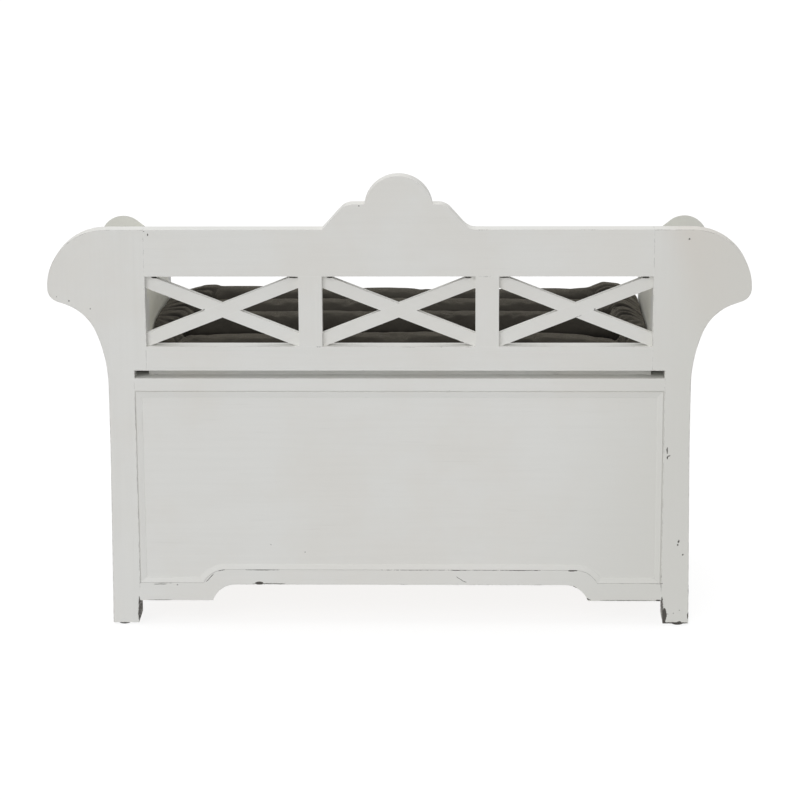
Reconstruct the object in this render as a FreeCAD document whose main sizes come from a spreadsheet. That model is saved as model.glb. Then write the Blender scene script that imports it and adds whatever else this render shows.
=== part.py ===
"""Storage bench with arms, a latticed back and a hinged seat lid.

Millimetres and degrees. X runs across the bench, +Y points to its back and +Z up.
The origin lies on the floor, under the middle of the bench.
"""

import FreeCAD, Part
import math
import os
import re

import Sketcher

doc = FreeCAD.newDocument("Bench")
sizes = doc.addObject("Spreadsheet::Sheet", "Sizes")

DIMENSIONS = [
    # Overall
    ("overall_width", 1200, "across the two back ears"),
    ("overall_height", 798, "floor to the top of the crest"),
    ("overall_depth", 450, "front edge of the lid to the back face"),
    # Back frame
    ("back_thickness", 30, "boards of the back frame"),
    ("crest_height", 92, "crest above the top rail"),
    ("top_rail_height", 81, "rail over the windows"),
    ("window_height", 123, "one window"),
    ("mullion_width", 40, "post between two windows"),
    ("lower_rail_height", 42, "rail under the windows"),
    ("slot_height", 14, "gap between the back and the chest"),
    # Legs and ears
    ("leg_width", 45, "leg seen from behind"),
    ("leg_flare", 4, "how far a leg spreads outwards at the floor"),
    ("foot_step", 4, "how much narrower a leg is below the apron"),
    ("stile_step", 22, "how much wider a stile is above the slot"),
    ("ear_reach", 100, "how far an ear stands out from its leg"),
    ("ear_radius", 100, "big round of the ear"),
    ("ear_edge", 2, "upright edge under the big round"),
    ("ear_lobe", 24, "small round under the ear"),
    ("ear_slope", 19, "angle of the straight run under the lobe"),
    ("ear_run", 14, "length of that straight run"),
    ("ear_turn", 67.5, "angle where the tight bend becomes the wide one"),
    ("ear_share", 0.73, "share of the sweep that the tight bend takes"),
    # Crest
    ("crest_radius", 58.5, "round head of the crest"),
    ("crest_shoulder", 43.5, "shoulder above the top rail"),
    ("shoulder_round", 28, "rounded end of a shoulder"),
    ("crest_angle", 48, "slope under a shoulder"),
    ("crest_flat", 20, "flat of the shoulder over the sharp foot"),
    ("crest_cove_flat", 10, "flat of the shoulder over the cove"),
    ("crest_cove", 28, "cove radius"),
    # Lattice
    ("lattice_rise", 21.5, "window corner to the bar along the side"),
    ("lattice_run", 6, "window corner to the bar along the rail"),
    ("lattice_thickness", 15, "one bar"),
    ("lattice_setback", 9, "back face to the bars"),
    # Chest frame, back and front
    ("chest_rail_height", 22, "top rails of the chest"),
    ("apron_low", 45, "floor to the apron at its ends"),
    ("apron_height", 32, "apron at its ends"),
    ("apron_top_lift", 24, "how far the top edge rises"),
    ("apron_top_end", 111, "leg to the curve at the top edge"),
    ("apron_top_run", 39, "length of the curve at the top edge"),
    ("apron_low_lift", 29, "how far the lower edge rises"),
    ("apron_low_end", 127, "leg to the curve at the lower edge"),
    ("apron_low_run", 40, "length of the curve at the lower edge"),
    ("apron_thickness", 18, "aprons"),
    ("panel_setback", 2.4, "frame face to the panel"),
    ("panel_thickness", 8, "chest panels"),
    ("groove_depth", 5, "grooves and rebates that hold the panels"),
    ("bead_width", 9.5, "bevelled bead round a panel"),
    ("bead_depth", 2, "bead at its outer edge"),
    ("bead_land", 1, "flat left on a bead"),
    ("bead_edge", 0.5, "bead at its inner edge"),
    ("bead_gap", 2, "shadow gap outside the upper beads"),
    ("bead_low_gap", 0.4, "gap between the lower bead and the apron"),
    # Posts, arms and sides
    ("rear_post_depth", 34, "post in front of a back stile"),
    ("front_post_depth", 45, "front post"),
    ("front_post_setback", 10, "lid edge to the front posts"),
    ("front_rail_setback", 13, "lid edge to the front rail"),
    ("arm_height", 155, "chest to the top of an arm"),
    ("arm_rest_thickness", 22, "board on top of an arm"),
    ("arm_rest_overhang", 5, "arm rest past the leg"),
    ("arm_rest_round", 5, "rounded edges of an arm rest"),
    ("arm_panel_thickness", 16, "inner face of an arm"),
    ("head_rise", 52.5, "front scroll above its arm"),
    ("head_reach", 55, "how far a front scroll stands out from its leg"),
    ("head_radius", 42, "big round of a front scroll"),
    ("head_edge", 2, "upright edge under that round"),
    ("head_lobe", 14, "small round under a front scroll"),
    ("head_slope", 19, "angle of the straight run under the lobe"),
    ("head_run", 8, "length of that straight run"),
    ("head_turn", 67.5, "angle where the tight bend becomes the wide one"),
    ("head_share", 0.73, "share of the sweep that the tight bend takes"),
    ("head_lean", 38, "slope from the scroll down to the arm"),
    ("head_draw", 12, "how far a front scroll draws in towards its front"),
    ("side_panel_thickness", 10, "outer panels of the sides"),
    ("side_rail_thickness", 26, "lower side rail"),
    ("side_setback", 8, "leg to the lower side rail"),
    ("side_panel_setback", 14, "leg to the outer side panel"),
    ("side_ledge", 10, "ledge that carries an end of the lid"),
    # Seat
    ("lid_thickness", 20, "lid board"),
    ("lid_clearance", 0.3, "lid above the chest rails when shut"),
    ("lid_side_gap", 3, "lid to an arm"),
    ("lid_rear_gap", 2, "lid to the hinge rail"),
    ("lid_round", 6, "rounded front edge of the lid"),
    ("hinge_rail_width", 34, "fixed strip behind the lid"),
    ("bearer_height", 40, "rail under that strip"),
    ("batten_width", 60, "batten under the lid"),
    ("batten_thickness", 18, "batten under the lid"),
    ("batten_end_gap", 30, "batten to the hinge line and the front rail"),
    ("batten_inset", 140, "end of the lid to the middle of a batten"),
    ("batten_screw_inset", 28, "end of a batten to its outer screws"),
    # Chest floor
    ("floor_thickness", 10, "bottom board"),
    ("floor_rise", 18, "bottom board above the ends of the aprons"),
    ("cleat_size", 20, "square strips that carry the bottom board"),
    ("corner_block", 28, "three-cornered glue blocks"),
    ("corner_block_height", 120, "three-cornered glue blocks"),
    # Hinges
    ("hinge_length", 76, "butt hinge"),
    ("hinge_leaf", 24, "leaf width from the pin"),
    ("leaf_thickness", 1.6, "leaf"),
    ("knuckle_radius", 3.2, "barrel"),
    ("hinge_pin_radius", 1.5, "pin"),
    ("pin_clearance", 0.06, "pin in its barrel"),
    ("knuckle_gap", 0.4, "between two knuckles"),
    ("hinge_inset", 240, "end of the lid to the middle of an outer hinge"),
    ("screw_radius", 1.8, "screw shank"),
    ("screw_head", 3.6, "screw head"),
    ("screw_length", 15, "screw"),
    ("screw_sink", 1.4, "height of a countersunk head"),
    ("screw_inset", 14, "hinge line to the screws"),
    ("screw_spread", 26, "between two screws of a leaf"),
    # Joinery
    ("tenon_length", 26, "rail tenons"),
    ("mullion_tenon", 14, "mullion tenons"),
    ("tenon_thickness", 10, "all tenons"),
    ("tenon_shoulder", 4, "rail edge to its tenon"),
    ("fit_clearance", 0.2, "a tenon, panel or bead in its seat"),
    ("hole_clearance", 0.05, "a screw or pin in its hole"),
    # Feet
    ("glide_radius", 10, "round plastic glide"),
    ("glide_height", 4, "glide under a leg"),
    ("glide_stem", 1.6, "nail of a glide"),
    ("glide_stem_length", 14, "nail of a glide"),
    ("glide_inset", 15, "back face to a rear glide"),
    ("glide_shift", 8, "middle of a leg to its glide, outwards"),
    # Cushion
    ("cushion_side_gap", 3, "cushion to an arm"),
    ("cushion_rear_gap", 5, "cushion to the hinge line"),
    ("cushion_front_gap", 6, "cushion to the front edge of the lid"),
    ("cushion_height", 46, "lid to the crests of the inner rolls"),
    ("cushion_crown", 3, "extra height halfway along"),
    ("rear_roll_drop", 15, "other rolls above the rear one"),
    ("channel_depth", 13, "crests to the sewn channels"),
    ("channel_count", 4, "rolls from back to front"),
    ("cushion_tuck", 12, "how far the long sides draw in underneath"),
    ("cushion_lift", 0.3, "cushion above the lid"),
    ("end_round", 82, "length of a rounded end, with its cross roll"),
    ("end_draw", 10, "how far a rounded end narrows"),
]

for row, (alias, number, meaning) in enumerate(DIMENSIONS, 1):
    sizes.set(f"A{row}", alias)
    sizes.set(f"B{row}", str(number))
    sizes.set(f"C{row}", meaning)
    sizes.setAlias(f"B{row}", alias)
doc.recompute()

ALIASES = re.compile(r"\b(" + "|".join(alias for alias, _, _ in DIMENSIONS) + r")\b")
UP = FreeCAD.Vector(0, 0, 1)

# Places worked out from the sheet
LEG_OUT = "(overall_width / 2 - ear_reach)"
LEG_IN = f"({LEG_OUT} - leg_width)"
FOOT_OUT = f"({LEG_OUT} + leg_flare)"
FOOT_IN = f"({LEG_IN} + foot_step)"
GLIDE_PLACE = f"({LEG_OUT} - leg_width / 2 + glide_shift)"
SEAT_HALF = f"({LEG_IN} - stile_step)"
WINDOW = f"((2 * {SEAT_HALF} - 2 * mullion_width) / 3)"
TOP = "(overall_height - crest_height)"
WINDOW_TOP = f"({TOP} - top_rail_height)"
SILL = f"({WINDOW_TOP} - window_height)"
LOWER_RAIL = f"({SILL} - lower_rail_height)"
CHEST_TOP = f"({LOWER_RAIL} - slot_height)"
CHEST_RAIL = f"({CHEST_TOP} - chest_rail_height)"
LID_UNDER = f"({CHEST_TOP} + lid_clearance)"
LID_TOP = f"({CHEST_TOP} + lid_thickness)"
APRON_TOP = "(apron_low + apron_height)"
FLOOR_LEVEL = f"({APRON_TOP} + floor_rise)"
BACK = "(overall_depth / 2)"
FRAME_FRONT = f"({BACK} - back_thickness)"
POST_FRONT = f"({FRAME_FRONT} - rear_post_depth)"
LID_FRONT = "(-overall_depth / 2)"
INSIDE = "max(apron_thickness; panel_setback + panel_thickness)"
FRONT_POST = f"({LID_FRONT} + front_post_setback)"
FRONT_POST_BACK = f"({FRONT_POST} + front_post_depth)"
FRONT_FACE = f"({LID_FRONT} + front_rail_setback)"
ARM_TOP = f"({CHEST_TOP} + arm_height)"
ARM_UNDER = f"({ARM_TOP} - arm_rest_thickness)"
HEAD_TOP = f"({ARM_TOP} + head_rise)"
LID_HALF = f"({SEAT_HALF} - lid_side_gap)"
HINGE_PLACE = f"({LID_HALF} - hinge_inset)"
BATTEN_PLACE = f"({LID_HALF} - batten_inset)"
HINGE_LINE = f"({FRAME_FRONT} - hinge_rail_width - lid_rear_gap / 2)"
HINGE_LEVEL = f"({LID_TOP} - leaf_thickness + knuckle_radius)"
SIDE_PANEL_OUT = f"({LEG_OUT} - side_panel_setback)"
SIDE_PANEL_IN = f"({SIDE_PANEL_OUT} - side_panel_thickness)"
SIDE_RAIL_OUT = f"({LEG_OUT} - side_setback)"
SIDE_RAIL_IN = f"({SIDE_RAIL_OUT} - side_rail_thickness)"
LEDGE = f"({LID_HALF} - side_ledge)"

SIDES = (("right", 1), ("left", -1))
# A face of the chest: its name, the place of its outer face and the way in as seen by its sketches
FACES = (("back", BACK, 1), ("front", FRONT_FACE, -1))
HINGE_PLACES = (f"-{HINGE_PLACE}", "0", HINGE_PLACE)
SCREW_PLACES = ("-screw_spread", "0", "screw_spread")
KNUCKLES = 5

CLOSE = 1e-3
# A leg is straight above this share of the height of the panel's top
FLARE_SHARE = 0.75
# A front scroll draws in by at most this share of its small round
DRAW_SHARE = 0.85
# A rounded edge takes at most this share of its board
ROUND_SHARE = 0.45

nodes = {}


def real(rule):
    """Value of a rule, which is a formula of the sheet's names."""
    return float(sizes.evalExpression(rule))


def bound(rule):
    """The same rule as another object of the document states it."""
    return ALIASES.sub(r"Sizes.\1", rule)


def bind(thing, **rules):
    for name, rule in rules.items():
        thing.setExpression(name, bound(rule))


def put(thing, x="0", y="0", z="0"):
    """Place an object by rules."""
    for letter, rule in (("x", x), ("y", y), ("z", z)):
        thing.setExpression(f"Placement.Base.{letter}", bound(rule))


def keep(name, thing):
    thing.Label = name
    nodes[name] = thing
    return thing


def mirrored(corners, side):
    """Corners on the chosen side of the bench: an outline is written for the right side."""
    if side > 0:
        return corners
    flipped = []
    for corner in corners:
        turned = (f"-({corner[0]})", corner[1])
        if len(corner) > 2:
            turned += (corner[2], -corner[3])
        flipped.append(turned)
    return flipped


def box_corners(x_low, x_high, z_low, z_high):
    return [(x_low, z_low), (x_high, z_low), (x_high, z_high), (x_low, z_high)]


def arc_between(start, end, radius, turn):
    """Arc of under a half circle from start to end, to the left if turn is 1."""
    chord = end - start
    middle = (start + end) / 2
    reach = math.sqrt(max(radius**2 - (chord.Length / 2) ** 2, 0))
    across = FreeCAD.Vector(-chord.y, chord.x, 0).normalize()
    centre = middle + across * (turn * reach)
    first, last = (start, end) if turn > 0 else (end, start)
    low = math.atan2(first.y - centre.y, first.x - centre.x)
    high = math.atan2(last.y - centre.y, last.x - centre.x)
    if high <= low:
        high += 2 * math.pi
    return Part.ArcOfCircle(Part.Circle(centre, UP, radius), low, high)


def sketch_on(body, plane, offset="0"):
    sketch = body.newObject("Sketcher::SketchObject", "Outline")
    support = [part for part in body.Origin.OriginFeatures if part.Role == plane][0]
    sketch.AttachmentSupport = [(support, "")]
    sketch.MapMode = "FlatFace"
    sketch.setExpression("AttachmentOffset.Base.z", bound(offset))
    return sketch


def draw(sketch, corners):
    """Closed outline. A corner may carry the radius and turn of the arc that leaves it."""
    points = [FreeCAD.Vector(real(corner[0]), real(corner[1]), 0) for corner in corners]
    ends = []
    for number, corner in enumerate(corners):
        start = points[number]
        end = points[(number + 1) % len(points)]
        if len(corner) == 2:
            edge = sketch.addGeometry(Part.LineSegment(start, end))
            ends.append((edge, 1, 2))
            continue
        radius, turn = corner[2], corner[3]
        edge = sketch.addGeometry(arc_between(start, end, real(radius), turn))
        ends.append((edge, 1, 2) if turn > 0 else (edge, 2, 1))
        rule = sketch.addConstraint(Sketcher.Constraint("Radius", edge, real(radius)))
        sketch.setExpression(f"Constraints[{rule}]", bound(radius))
    for number, (edge, start, end) in enumerate(ends):
        following, its_start, _ = ends[(number + 1) % len(ends)]
        sketch.addConstraint(Sketcher.Constraint("Coincident", edge, end, following, its_start))
        for kind, place in (("DistanceX", corners[number][0]), ("DistanceY", corners[number][1])):
            rule = sketch.addConstraint(Sketcher.Constraint(kind, -1, 1, edge, start, real(place)))
            sketch.setExpression(f"Constraints[{rule}]", bound(place))
    return sketch


def circles(sketch, centres, radius):
    for x_rule, y_rule in centres:
        centre = FreeCAD.Vector(real(x_rule), real(y_rule), 0)
        edge = sketch.addGeometry(Part.Circle(centre, UP, real(radius)))
        rule = sketch.addConstraint(Sketcher.Constraint("Radius", edge, real(radius)))
        sketch.setExpression(f"Constraints[{rule}]", bound(radius))
        for kind, place in (("DistanceX", x_rule), ("DistanceY", y_rule)):
            rule = sketch.addConstraint(Sketcher.Constraint(kind, -1, 1, edge, 3, real(place)))
            sketch.setExpression(f"Constraints[{rule}]", bound(place))
    return sketch


def pad(body, sketch, length, way=1):
    feature = body.newObject("PartDesign::Pad", "Pad")
    feature.Profile = sketch
    feature.Reversed = way < 0
    bind(feature, Length=length)
    return feature


def pocket(body, sketch, length, way=1):
    """Cut along the sketch's normal, or against it if way is -1."""
    doc.recompute()
    before = body.Shape.Volume
    feature = body.newObject("PartDesign::Pocket", "Pocket")
    feature.Profile = sketch
    feature.Reversed = way > 0
    bind(feature, Length=length)
    doc.recompute()
    if body.Shape.Volume >= before:
        raise ValueError(f"a pocket of {body.Label} cuts nothing")
    return feature


def board(name, corners, face, thickness, way=1):
    """Upright board drawn as seen from the front, its outer face at the given place."""
    body = keep(name, doc.addObject("PartDesign::Body", name))
    pad(body, draw(sketch_on(body, "XZ_Plane"), corners), thickness, way)
    put(body, y=face)
    return body


def tongue(body, corners, depth, thickness="tenon_thickness", way=1):
    """Tenon or tongue that starts at a depth under the board's face."""
    sketch = sketch_on(body, "XZ_Plane", f"{way} * ({depth})")
    return pad(body, draw(sketch, corners), thickness, way)


def seat(body, corners, depth, thickness, way=1):
    """Mortise or groove, at a depth under the board's face."""
    sketch = sketch_on(body, "XZ_Plane", f"{way} * ({depth})")
    return pocket(body, draw(sketch, corners), thickness, way)


def mortise(body, x_low, x_high, z_low, z_high, depth, way=1, open_side=None):
    """Seat of a tenon, with the fit's clearance at its sides and at its bottom."""
    gap = "fit_clearance"
    low = x_low if open_side == "low" else f"{x_low} - {gap}"
    high = x_high if open_side == "high" else f"{x_high} + {gap}"
    bottom = z_low if open_side == "down" else f"{z_low} - {gap}"
    top = z_high if open_side == "up" else f"{z_high} + {gap}"
    corners = box_corners(low, high, bottom, top)
    return seat(body, corners, f"{depth} - {gap}", f"tenon_thickness + 2 * {gap}", way)


def block(name, x, y, z):
    """Straight piece between pairs of rules."""
    piece = doc.addObject("Part::Box", name)
    bind(piece, Length=f"{x[1]} - ({x[0]})", Width=f"{y[1]} - ({y[0]})", Height=f"{z[1]} - ({z[0]})")
    put(piece, x[0], y[0], z[0])
    piece.Label = name
    return piece


def rod(name, radius, length, x, y, z, along="z"):
    piece = doc.addObject("Part::Cylinder", name)
    bind(piece, Radius=radius, Height=length)
    put(piece, x, y, z)
    if along == "x":
        piece.Placement.Rotation = FreeCAD.Rotation(FreeCAD.Vector(0, 1, 0), 90)
    return piece


def group(name, members):
    """Identical pieces that share one node, each a solid of its own."""
    bundle = doc.addObject("Part::Compound", name)
    bundle.Links = members
    return keep(name, bundle)


def minus(name, base, tools):
    cut = doc.addObject("Part::Cut", name)
    cut.Base = base
    if len(tools) == 1:
        cut.Tool = tools[0]
        return cut
    joined = doc.addObject("Part::MultiFuse", name + "Tools")
    joined.Shapes = tools
    cut.Tool = joined
    return cut


def plus(name, members):
    joined = doc.addObject("Part::MultiFuse", name)
    joined.Shapes = members
    return joined


def span(low, high, side):
    """Two rules in rising order on the chosen side of the bench."""
    return (low, high) if side > 0 else (f"-({high})", f"-({low})")


def scroll(kind, top, reach, lean="0"):
    """Outline from the leg's outer edge round a scroll to its top, and the level where it starts.

    A wide bend and a tight bend carry the leg's edge outwards, then come a straight run, the small
    lobe, a short upright edge and the big round.
    """
    outer = f"({LEG_OUT} + {reach})"
    round_level = f"({top} - {kind}_radius)"
    slope, turn = f"{kind}_slope", f"{kind}_turn"
    lobe_x = f"({outer} - {kind}_lobe * (1 - sin({slope})))"
    lobe_z = f"({round_level} - {kind}_edge - {kind}_lobe * cos({slope}))"
    run_x = f"({lobe_x} - {kind}_run * cos({slope}))"
    run_z = f"({lobe_z} - {kind}_run * sin({slope}))"
    tight_width = f"(({run_x} - {LEG_OUT}) * {kind}_share)"
    wide_width = f"(({run_x} - {LEG_OUT}) * (1 - {kind}_share))"
    tight = f"({tight_width} / (sin({turn}) - sin({slope})))"
    wide = f"({wide_width} / (1 - sin({turn})))"
    bend_x = f"({run_x} - {tight_width})"
    bend_z = f"({run_z} - {tight} * (cos({slope}) - cos({turn})))"
    start = f"({bend_z} - {wide} * cos({turn}))"
    big = f"{kind}_radius"
    return [
        (LEG_OUT, start, wide, -1),
        (bend_x, bend_z, tight, -1),
        (run_x, run_z),
        (lobe_x, lobe_z, f"{kind}_lobe", 1),
        (outer, f"{round_level} - {kind}_edge"),
        (outer, round_level, big, 1),
        (f"{outer} - {big} * (1 + sin({lean}))", f"{round_level} + {big} * cos({lean})"),
    ]


def ogee(end, run, lift, level, offset="0"):
    """Right half of an apron edge, from its end inwards, moved up by an offset."""
    flat = f"({LEG_IN} - {end} - {run})"
    radius = f"(({run} * {run} + {lift} * {lift}) / (2 * {lift}))"
    wider = f"({radius} + {offset})"
    drop = f"({wider} - {lift})"
    foot = f"({flat} + sqrt({wider} * {wider} - {drop} * {drop}))"
    return [(foot, f"{level} + {offset}", wider, 1), (flat, f"{level} + {lift} + {offset}")]


def whole(half):
    """Both halves of a symmetric edge, from right to left."""
    left = []
    for number in range(len(half) - 1, -1, -1):
        corner = (f"-({half[number][0]})", half[number][1])
        if number and len(half[number - 1]) > 2:
            corner += half[number - 1][2:]
        left.append(corner)
    return half + left


def apron_edge(offset="0"):
    return whole(ogee("apron_top_end", "apron_top_run", "apron_top_lift", APRON_TOP, offset))


def backwards(edge):
    """The same edge from left to right, as a lower border needs it."""
    turned = []
    for number in range(len(edge) - 1, -1, -1):
        corner = (edge[number][0], edge[number][1])
        if number and len(edge[number - 1]) > 2:
            corner += (edge[number - 1][2], -edge[number - 1][3])
        turned.append(corner)
    return turned


# Back frame

RAIL_TENON = "(back_thickness / 2 - tenon_thickness / 2)"


def tenon_levels(low, high, groove_low="0", groove_high="0"):
    """Lower and upper edge of a tenon, clear of the grooves along its rail."""
    return f"{low} + {groove_low} + tenon_shoulder", f"{high} - {groove_high} - tenon_shoulder"


def make_top_rail():
    rise = "(crest_shoulder - shoulder_round * (1 - cos(crest_angle)))"
    shoulder = f"({TOP} + crest_shoulder)"
    sunk = "(crest_shoulder + crest_radius - crest_height)"
    notch = f"sqrt(crest_radius * crest_radius - {sunk} * {sunk})"
    flat_end, cove_flat_end = f"({notch} + crest_flat)", f"({notch} + crest_cove_flat)"
    bend = "shoulder_round * sin(crest_angle)"
    slope_run = f"{rise} / tan(crest_angle)"
    foot = f"({flat_end} + {bend} + {slope_run})"
    cove_foot = f"({cove_flat_end} + {bend} + {slope_run})"
    cove = "(crest_cove * tan(crest_angle / 2))"
    cove_end = f"-({cove_foot} - {cove} * cos(crest_angle))"

    corners = [
        (f"-{SEAT_HALF}", WINDOW_TOP),
        (SEAT_HALF, WINDOW_TOP),
        (SEAT_HALF, TOP),
        (foot, TOP),
        (f"{flat_end} + {bend}", f"{TOP} + {rise}", "shoulder_round", 1),
        (flat_end, shoulder),
        (notch, shoulder, "crest_radius", 1),
        (f"-{notch}", shoulder),
        (f"-{cove_flat_end}", shoulder, "shoulder_round", 1),
        (f"-({cove_flat_end} + {bend})", f"{TOP} + {rise}"),
        (cove_end, f"{TOP} + {cove} * sin(crest_angle)", "crest_cove", -1),
        (f"-({cove_foot} + {cove})", TOP),
        (f"-{SEAT_HALF}", TOP),
    ]
    rail = board("back_top_rail", corners, BACK, "back_thickness")
    low, high = tenon_levels(WINDOW_TOP, TOP)
    reach = f"{SEAT_HALF} + tenon_length"
    tongue(rail, box_corners(f"-({reach})", reach, low, high), RAIL_TENON)
    return rail


def mullion_seats(rail, rail_edge, way_up):
    """Mortises for the two mullions in the edge of a rail."""
    for side in (1, -1):
        ends = (f"{WINDOW} / 2 + tenon_shoulder", f"{WINDOW} / 2 + mullion_width - tenon_shoulder")
        low, high = span(*ends, side)
        if way_up:
            mortise(rail, low, high, rail_edge, f"{rail_edge} + mullion_tenon", RAIL_TENON, open_side="down")
        else:
            mortise(rail, low, high, f"{rail_edge} - mullion_tenon", rail_edge, RAIL_TENON, open_side="up")


def make_lower_rail():
    rail = board(
        "back_lower_rail", box_corners(f"-{SEAT_HALF}", SEAT_HALF, LOWER_RAIL, SILL), BACK, "back_thickness"
    )
    low, high = tenon_levels(LOWER_RAIL, SILL)
    reach = f"{SEAT_HALF} + tenon_length"
    tongue(rail, box_corners(f"-({reach})", reach, low, high), RAIL_TENON)
    return rail


def make_mullion(name, side):
    low, high = span(f"{WINDOW} / 2", f"{WINDOW} / 2 + mullion_width", side)
    mullion = board(f"back_mullion_{name}", box_corners(low, high, SILL, WINDOW_TOP), BACK, "back_thickness")
    low, high = f"{low} + tenon_shoulder", f"{high} - tenon_shoulder"
    corners = box_corners(low, high, f"{SILL} - mullion_tenon", f"{WINDOW_TOP} + mullion_tenon")
    tongue(mullion, corners, RAIL_TENON)


def leg_edges():
    """Lower corners of a leg, which spreads a little outwards and is narrower below the apron."""
    return [
        (LEG_IN, "apron_low"),
        (FOOT_IN, "apron_low"),
        (FOOT_IN, "glide_height"),
        (FOOT_OUT, "glide_height"),
        (LEG_OUT, f"{CHEST_RAIL} * {FLARE_SHARE}"),
    ]


def make_stile(name, side):
    """Back leg with its ear, cut from one board."""
    ear = scroll("ear", TOP, "ear_reach")
    corners = leg_edges() + ear
    corners += [(SEAT_HALF, TOP), (SEAT_HALF, LOWER_RAIL), (LEG_IN, LOWER_RAIL)]
    stile = board(f"back_stile_{name}", mirrored(corners, side), BACK, "back_thickness")
    mouth = "low" if side > 0 else "high"
    for edge, low, high, groove in (
        (SEAT_HALF, WINDOW_TOP, TOP, "0"),
        (SEAT_HALF, LOWER_RAIL, SILL, "0"),
        (LEG_IN, CHEST_RAIL, CHEST_TOP, "groove_depth"),
    ):
        x_low, x_high = span(edge, f"{edge} + tenon_length", side)
        low, high = tenon_levels(low, high, groove)
        mortise(stile, x_low, x_high, low, high, RAIL_TENON, open_side=mouth)
    panel_groove(stile, side, 1)
    apron_seat(stile, side, 1)
    glide_hole(stile, side, "-glide_inset")


def panel_groove(post, side, way, depth="panel_setback"):
    """Upright groove for a chest panel."""
    x_low, x_high = span(LEG_IN, f"{LEG_IN} + groove_depth + fit_clearance", side)
    low, high = f"{APRON_TOP} - groove_depth - fit_clearance", f"{CHEST_RAIL} + groove_depth + fit_clearance"
    corners = box_corners(x_low, x_high, low, high)
    seat(post, corners, depth, "panel_thickness + fit_clearance", way)


def apron_seat(post, side, way, extra="0"):
    x_low, x_high = span(LEG_IN, f"{LEG_IN} + tenon_length / 2", side)
    mouth = "low" if side > 0 else "high"
    low, high = tenon_levels("apron_low", APRON_TOP, groove_high="groove_depth")
    mortise(post, x_low, x_high, low, high, f"{APRON_TENON} + {extra}", way, mouth)


APRON_TENON = "(apron_thickness / 2 - tenon_thickness / 2)"


def glide_hole(post, side, place):
    """Hole in the end grain for the nail of a glide."""
    middle = f"{side} * {GLIDE_PLACE}"
    sketch = sketch_on(post, "XY_Plane", "glide_height")
    circles(sketch, [(middle, place)], "glide_stem + hole_clearance")
    pocket(post, sketch, "glide_stem_length - glide_height + fit_clearance")


# Lattice

BAR_SLOPE = f"((window_height - lattice_rise) / ({WINDOW} - lattice_run))"
BAR_HALF = f"({BAR_SLOPE} * {WINDOW} / 2 - window_height / 2 + lattice_rise)"


def make_bar(window, way, name):
    """One bar of a cross, from corner to corner of its window, halved over the other bar."""
    middle = f"{window} * ({WINDOW} + mullion_width)"
    level = f"({SILL} + window_height / 2)"
    half_width, half_height = f"{WINDOW} / 2", "window_height / 2"
    outline = [
        (f"-{half_width}", f"-{half_height}"),
        (f"-{half_width} + lattice_run", f"-{half_height}"),
        (half_width, f"{half_height} - lattice_rise"),
        (half_width, half_height),
        (f"{half_width} - lattice_run", half_height),
        (f"-{half_width}", f"-{half_height} + lattice_rise"),
    ]
    lap = [
        ("0", BAR_HALF),
        (f"-{BAR_HALF} / {BAR_SLOPE}", "0"),
        ("0", f"-{BAR_HALF}"),
        (f"{BAR_HALF} / {BAR_SLOPE}", "0"),
    ]

    def placed(corners):
        return [(f"{middle} + {way} * ({x})", f"{level} + {z}") for x, z in corners]

    bar = board(name, placed(outline), f"{BACK} - lattice_setback", "lattice_thickness")
    depth = "0" if way > 0 else "lattice_thickness / 2"
    seat(bar, placed(lap), depth, "lattice_thickness / 2")


# Chest


def make_chest_rail(name, face, way):
    corners = box_corners(f"-{LEG_IN}", LEG_IN, CHEST_RAIL, CHEST_TOP)
    rail = board(f"chest_{name}_rail", corners, face, "back_thickness", way)
    low, high = tenon_levels(CHEST_RAIL, CHEST_TOP, "groove_depth")
    reach = f"{LEG_IN} + tenon_length"
    tongue(rail, box_corners(f"-({reach})", reach, low, high), RAIL_TENON, way=way)
    corners = box_corners(f"-{LEG_IN}", LEG_IN, CHEST_RAIL, f"{CHEST_RAIL} + groove_depth + fit_clearance")
    seat(rail, corners, "panel_setback", "panel_thickness + fit_clearance", way)


def make_apron(name, face, way):
    low_edge = whole(ogee("apron_low_end", "apron_low_run", "apron_low_lift", "apron_low"))
    corners = [(LEG_IN, "apron_low"), (LEG_IN, APRON_TOP)] + apron_edge()
    corners += [(f"-{LEG_IN}", APRON_TOP), (f"-{LEG_IN}", "apron_low")] + backwards(low_edge)
    apron = board(f"chest_{name}_apron", corners, face, "apron_thickness", way)
    low, high = tenon_levels("apron_low", APRON_TOP, groove_high="groove_depth")
    for side in (1, -1):
        x_low, x_high = span(f"{LEG_IN} - tenon_shoulder", f"{LEG_IN} + tenon_length / 2", side)
        tongue(apron, box_corners(x_low, x_high, low, high), APRON_TENON, way=way)
    rebate = panel_outline(LEG_IN, f"{APRON_TOP} + 2 * apron_top_lift", "groove_depth + fit_clearance")
    seat(apron, rebate, "panel_setback", "apron_thickness", way)


def panel_outline(reach, top, overlap):
    """Outline above a line that runs under the apron's upper edge."""
    level = f"({APRON_TOP} - ({overlap}))"
    corners = [(reach, level), (reach, top), (f"-{reach}", top), (f"-{reach}", level)]
    return corners + backwards(apron_edge(f"-({overlap})"))


def make_panel(name, face, way):
    reach = f"({LEG_IN} + groove_depth)"
    corners = panel_outline(reach, f"({CHEST_RAIL} + groove_depth)", "groove_depth")
    depth = f"({face}) - {way} * panel_setback"
    board(f"chest_{name}_panel", corners, depth, "panel_thickness", way)


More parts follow.
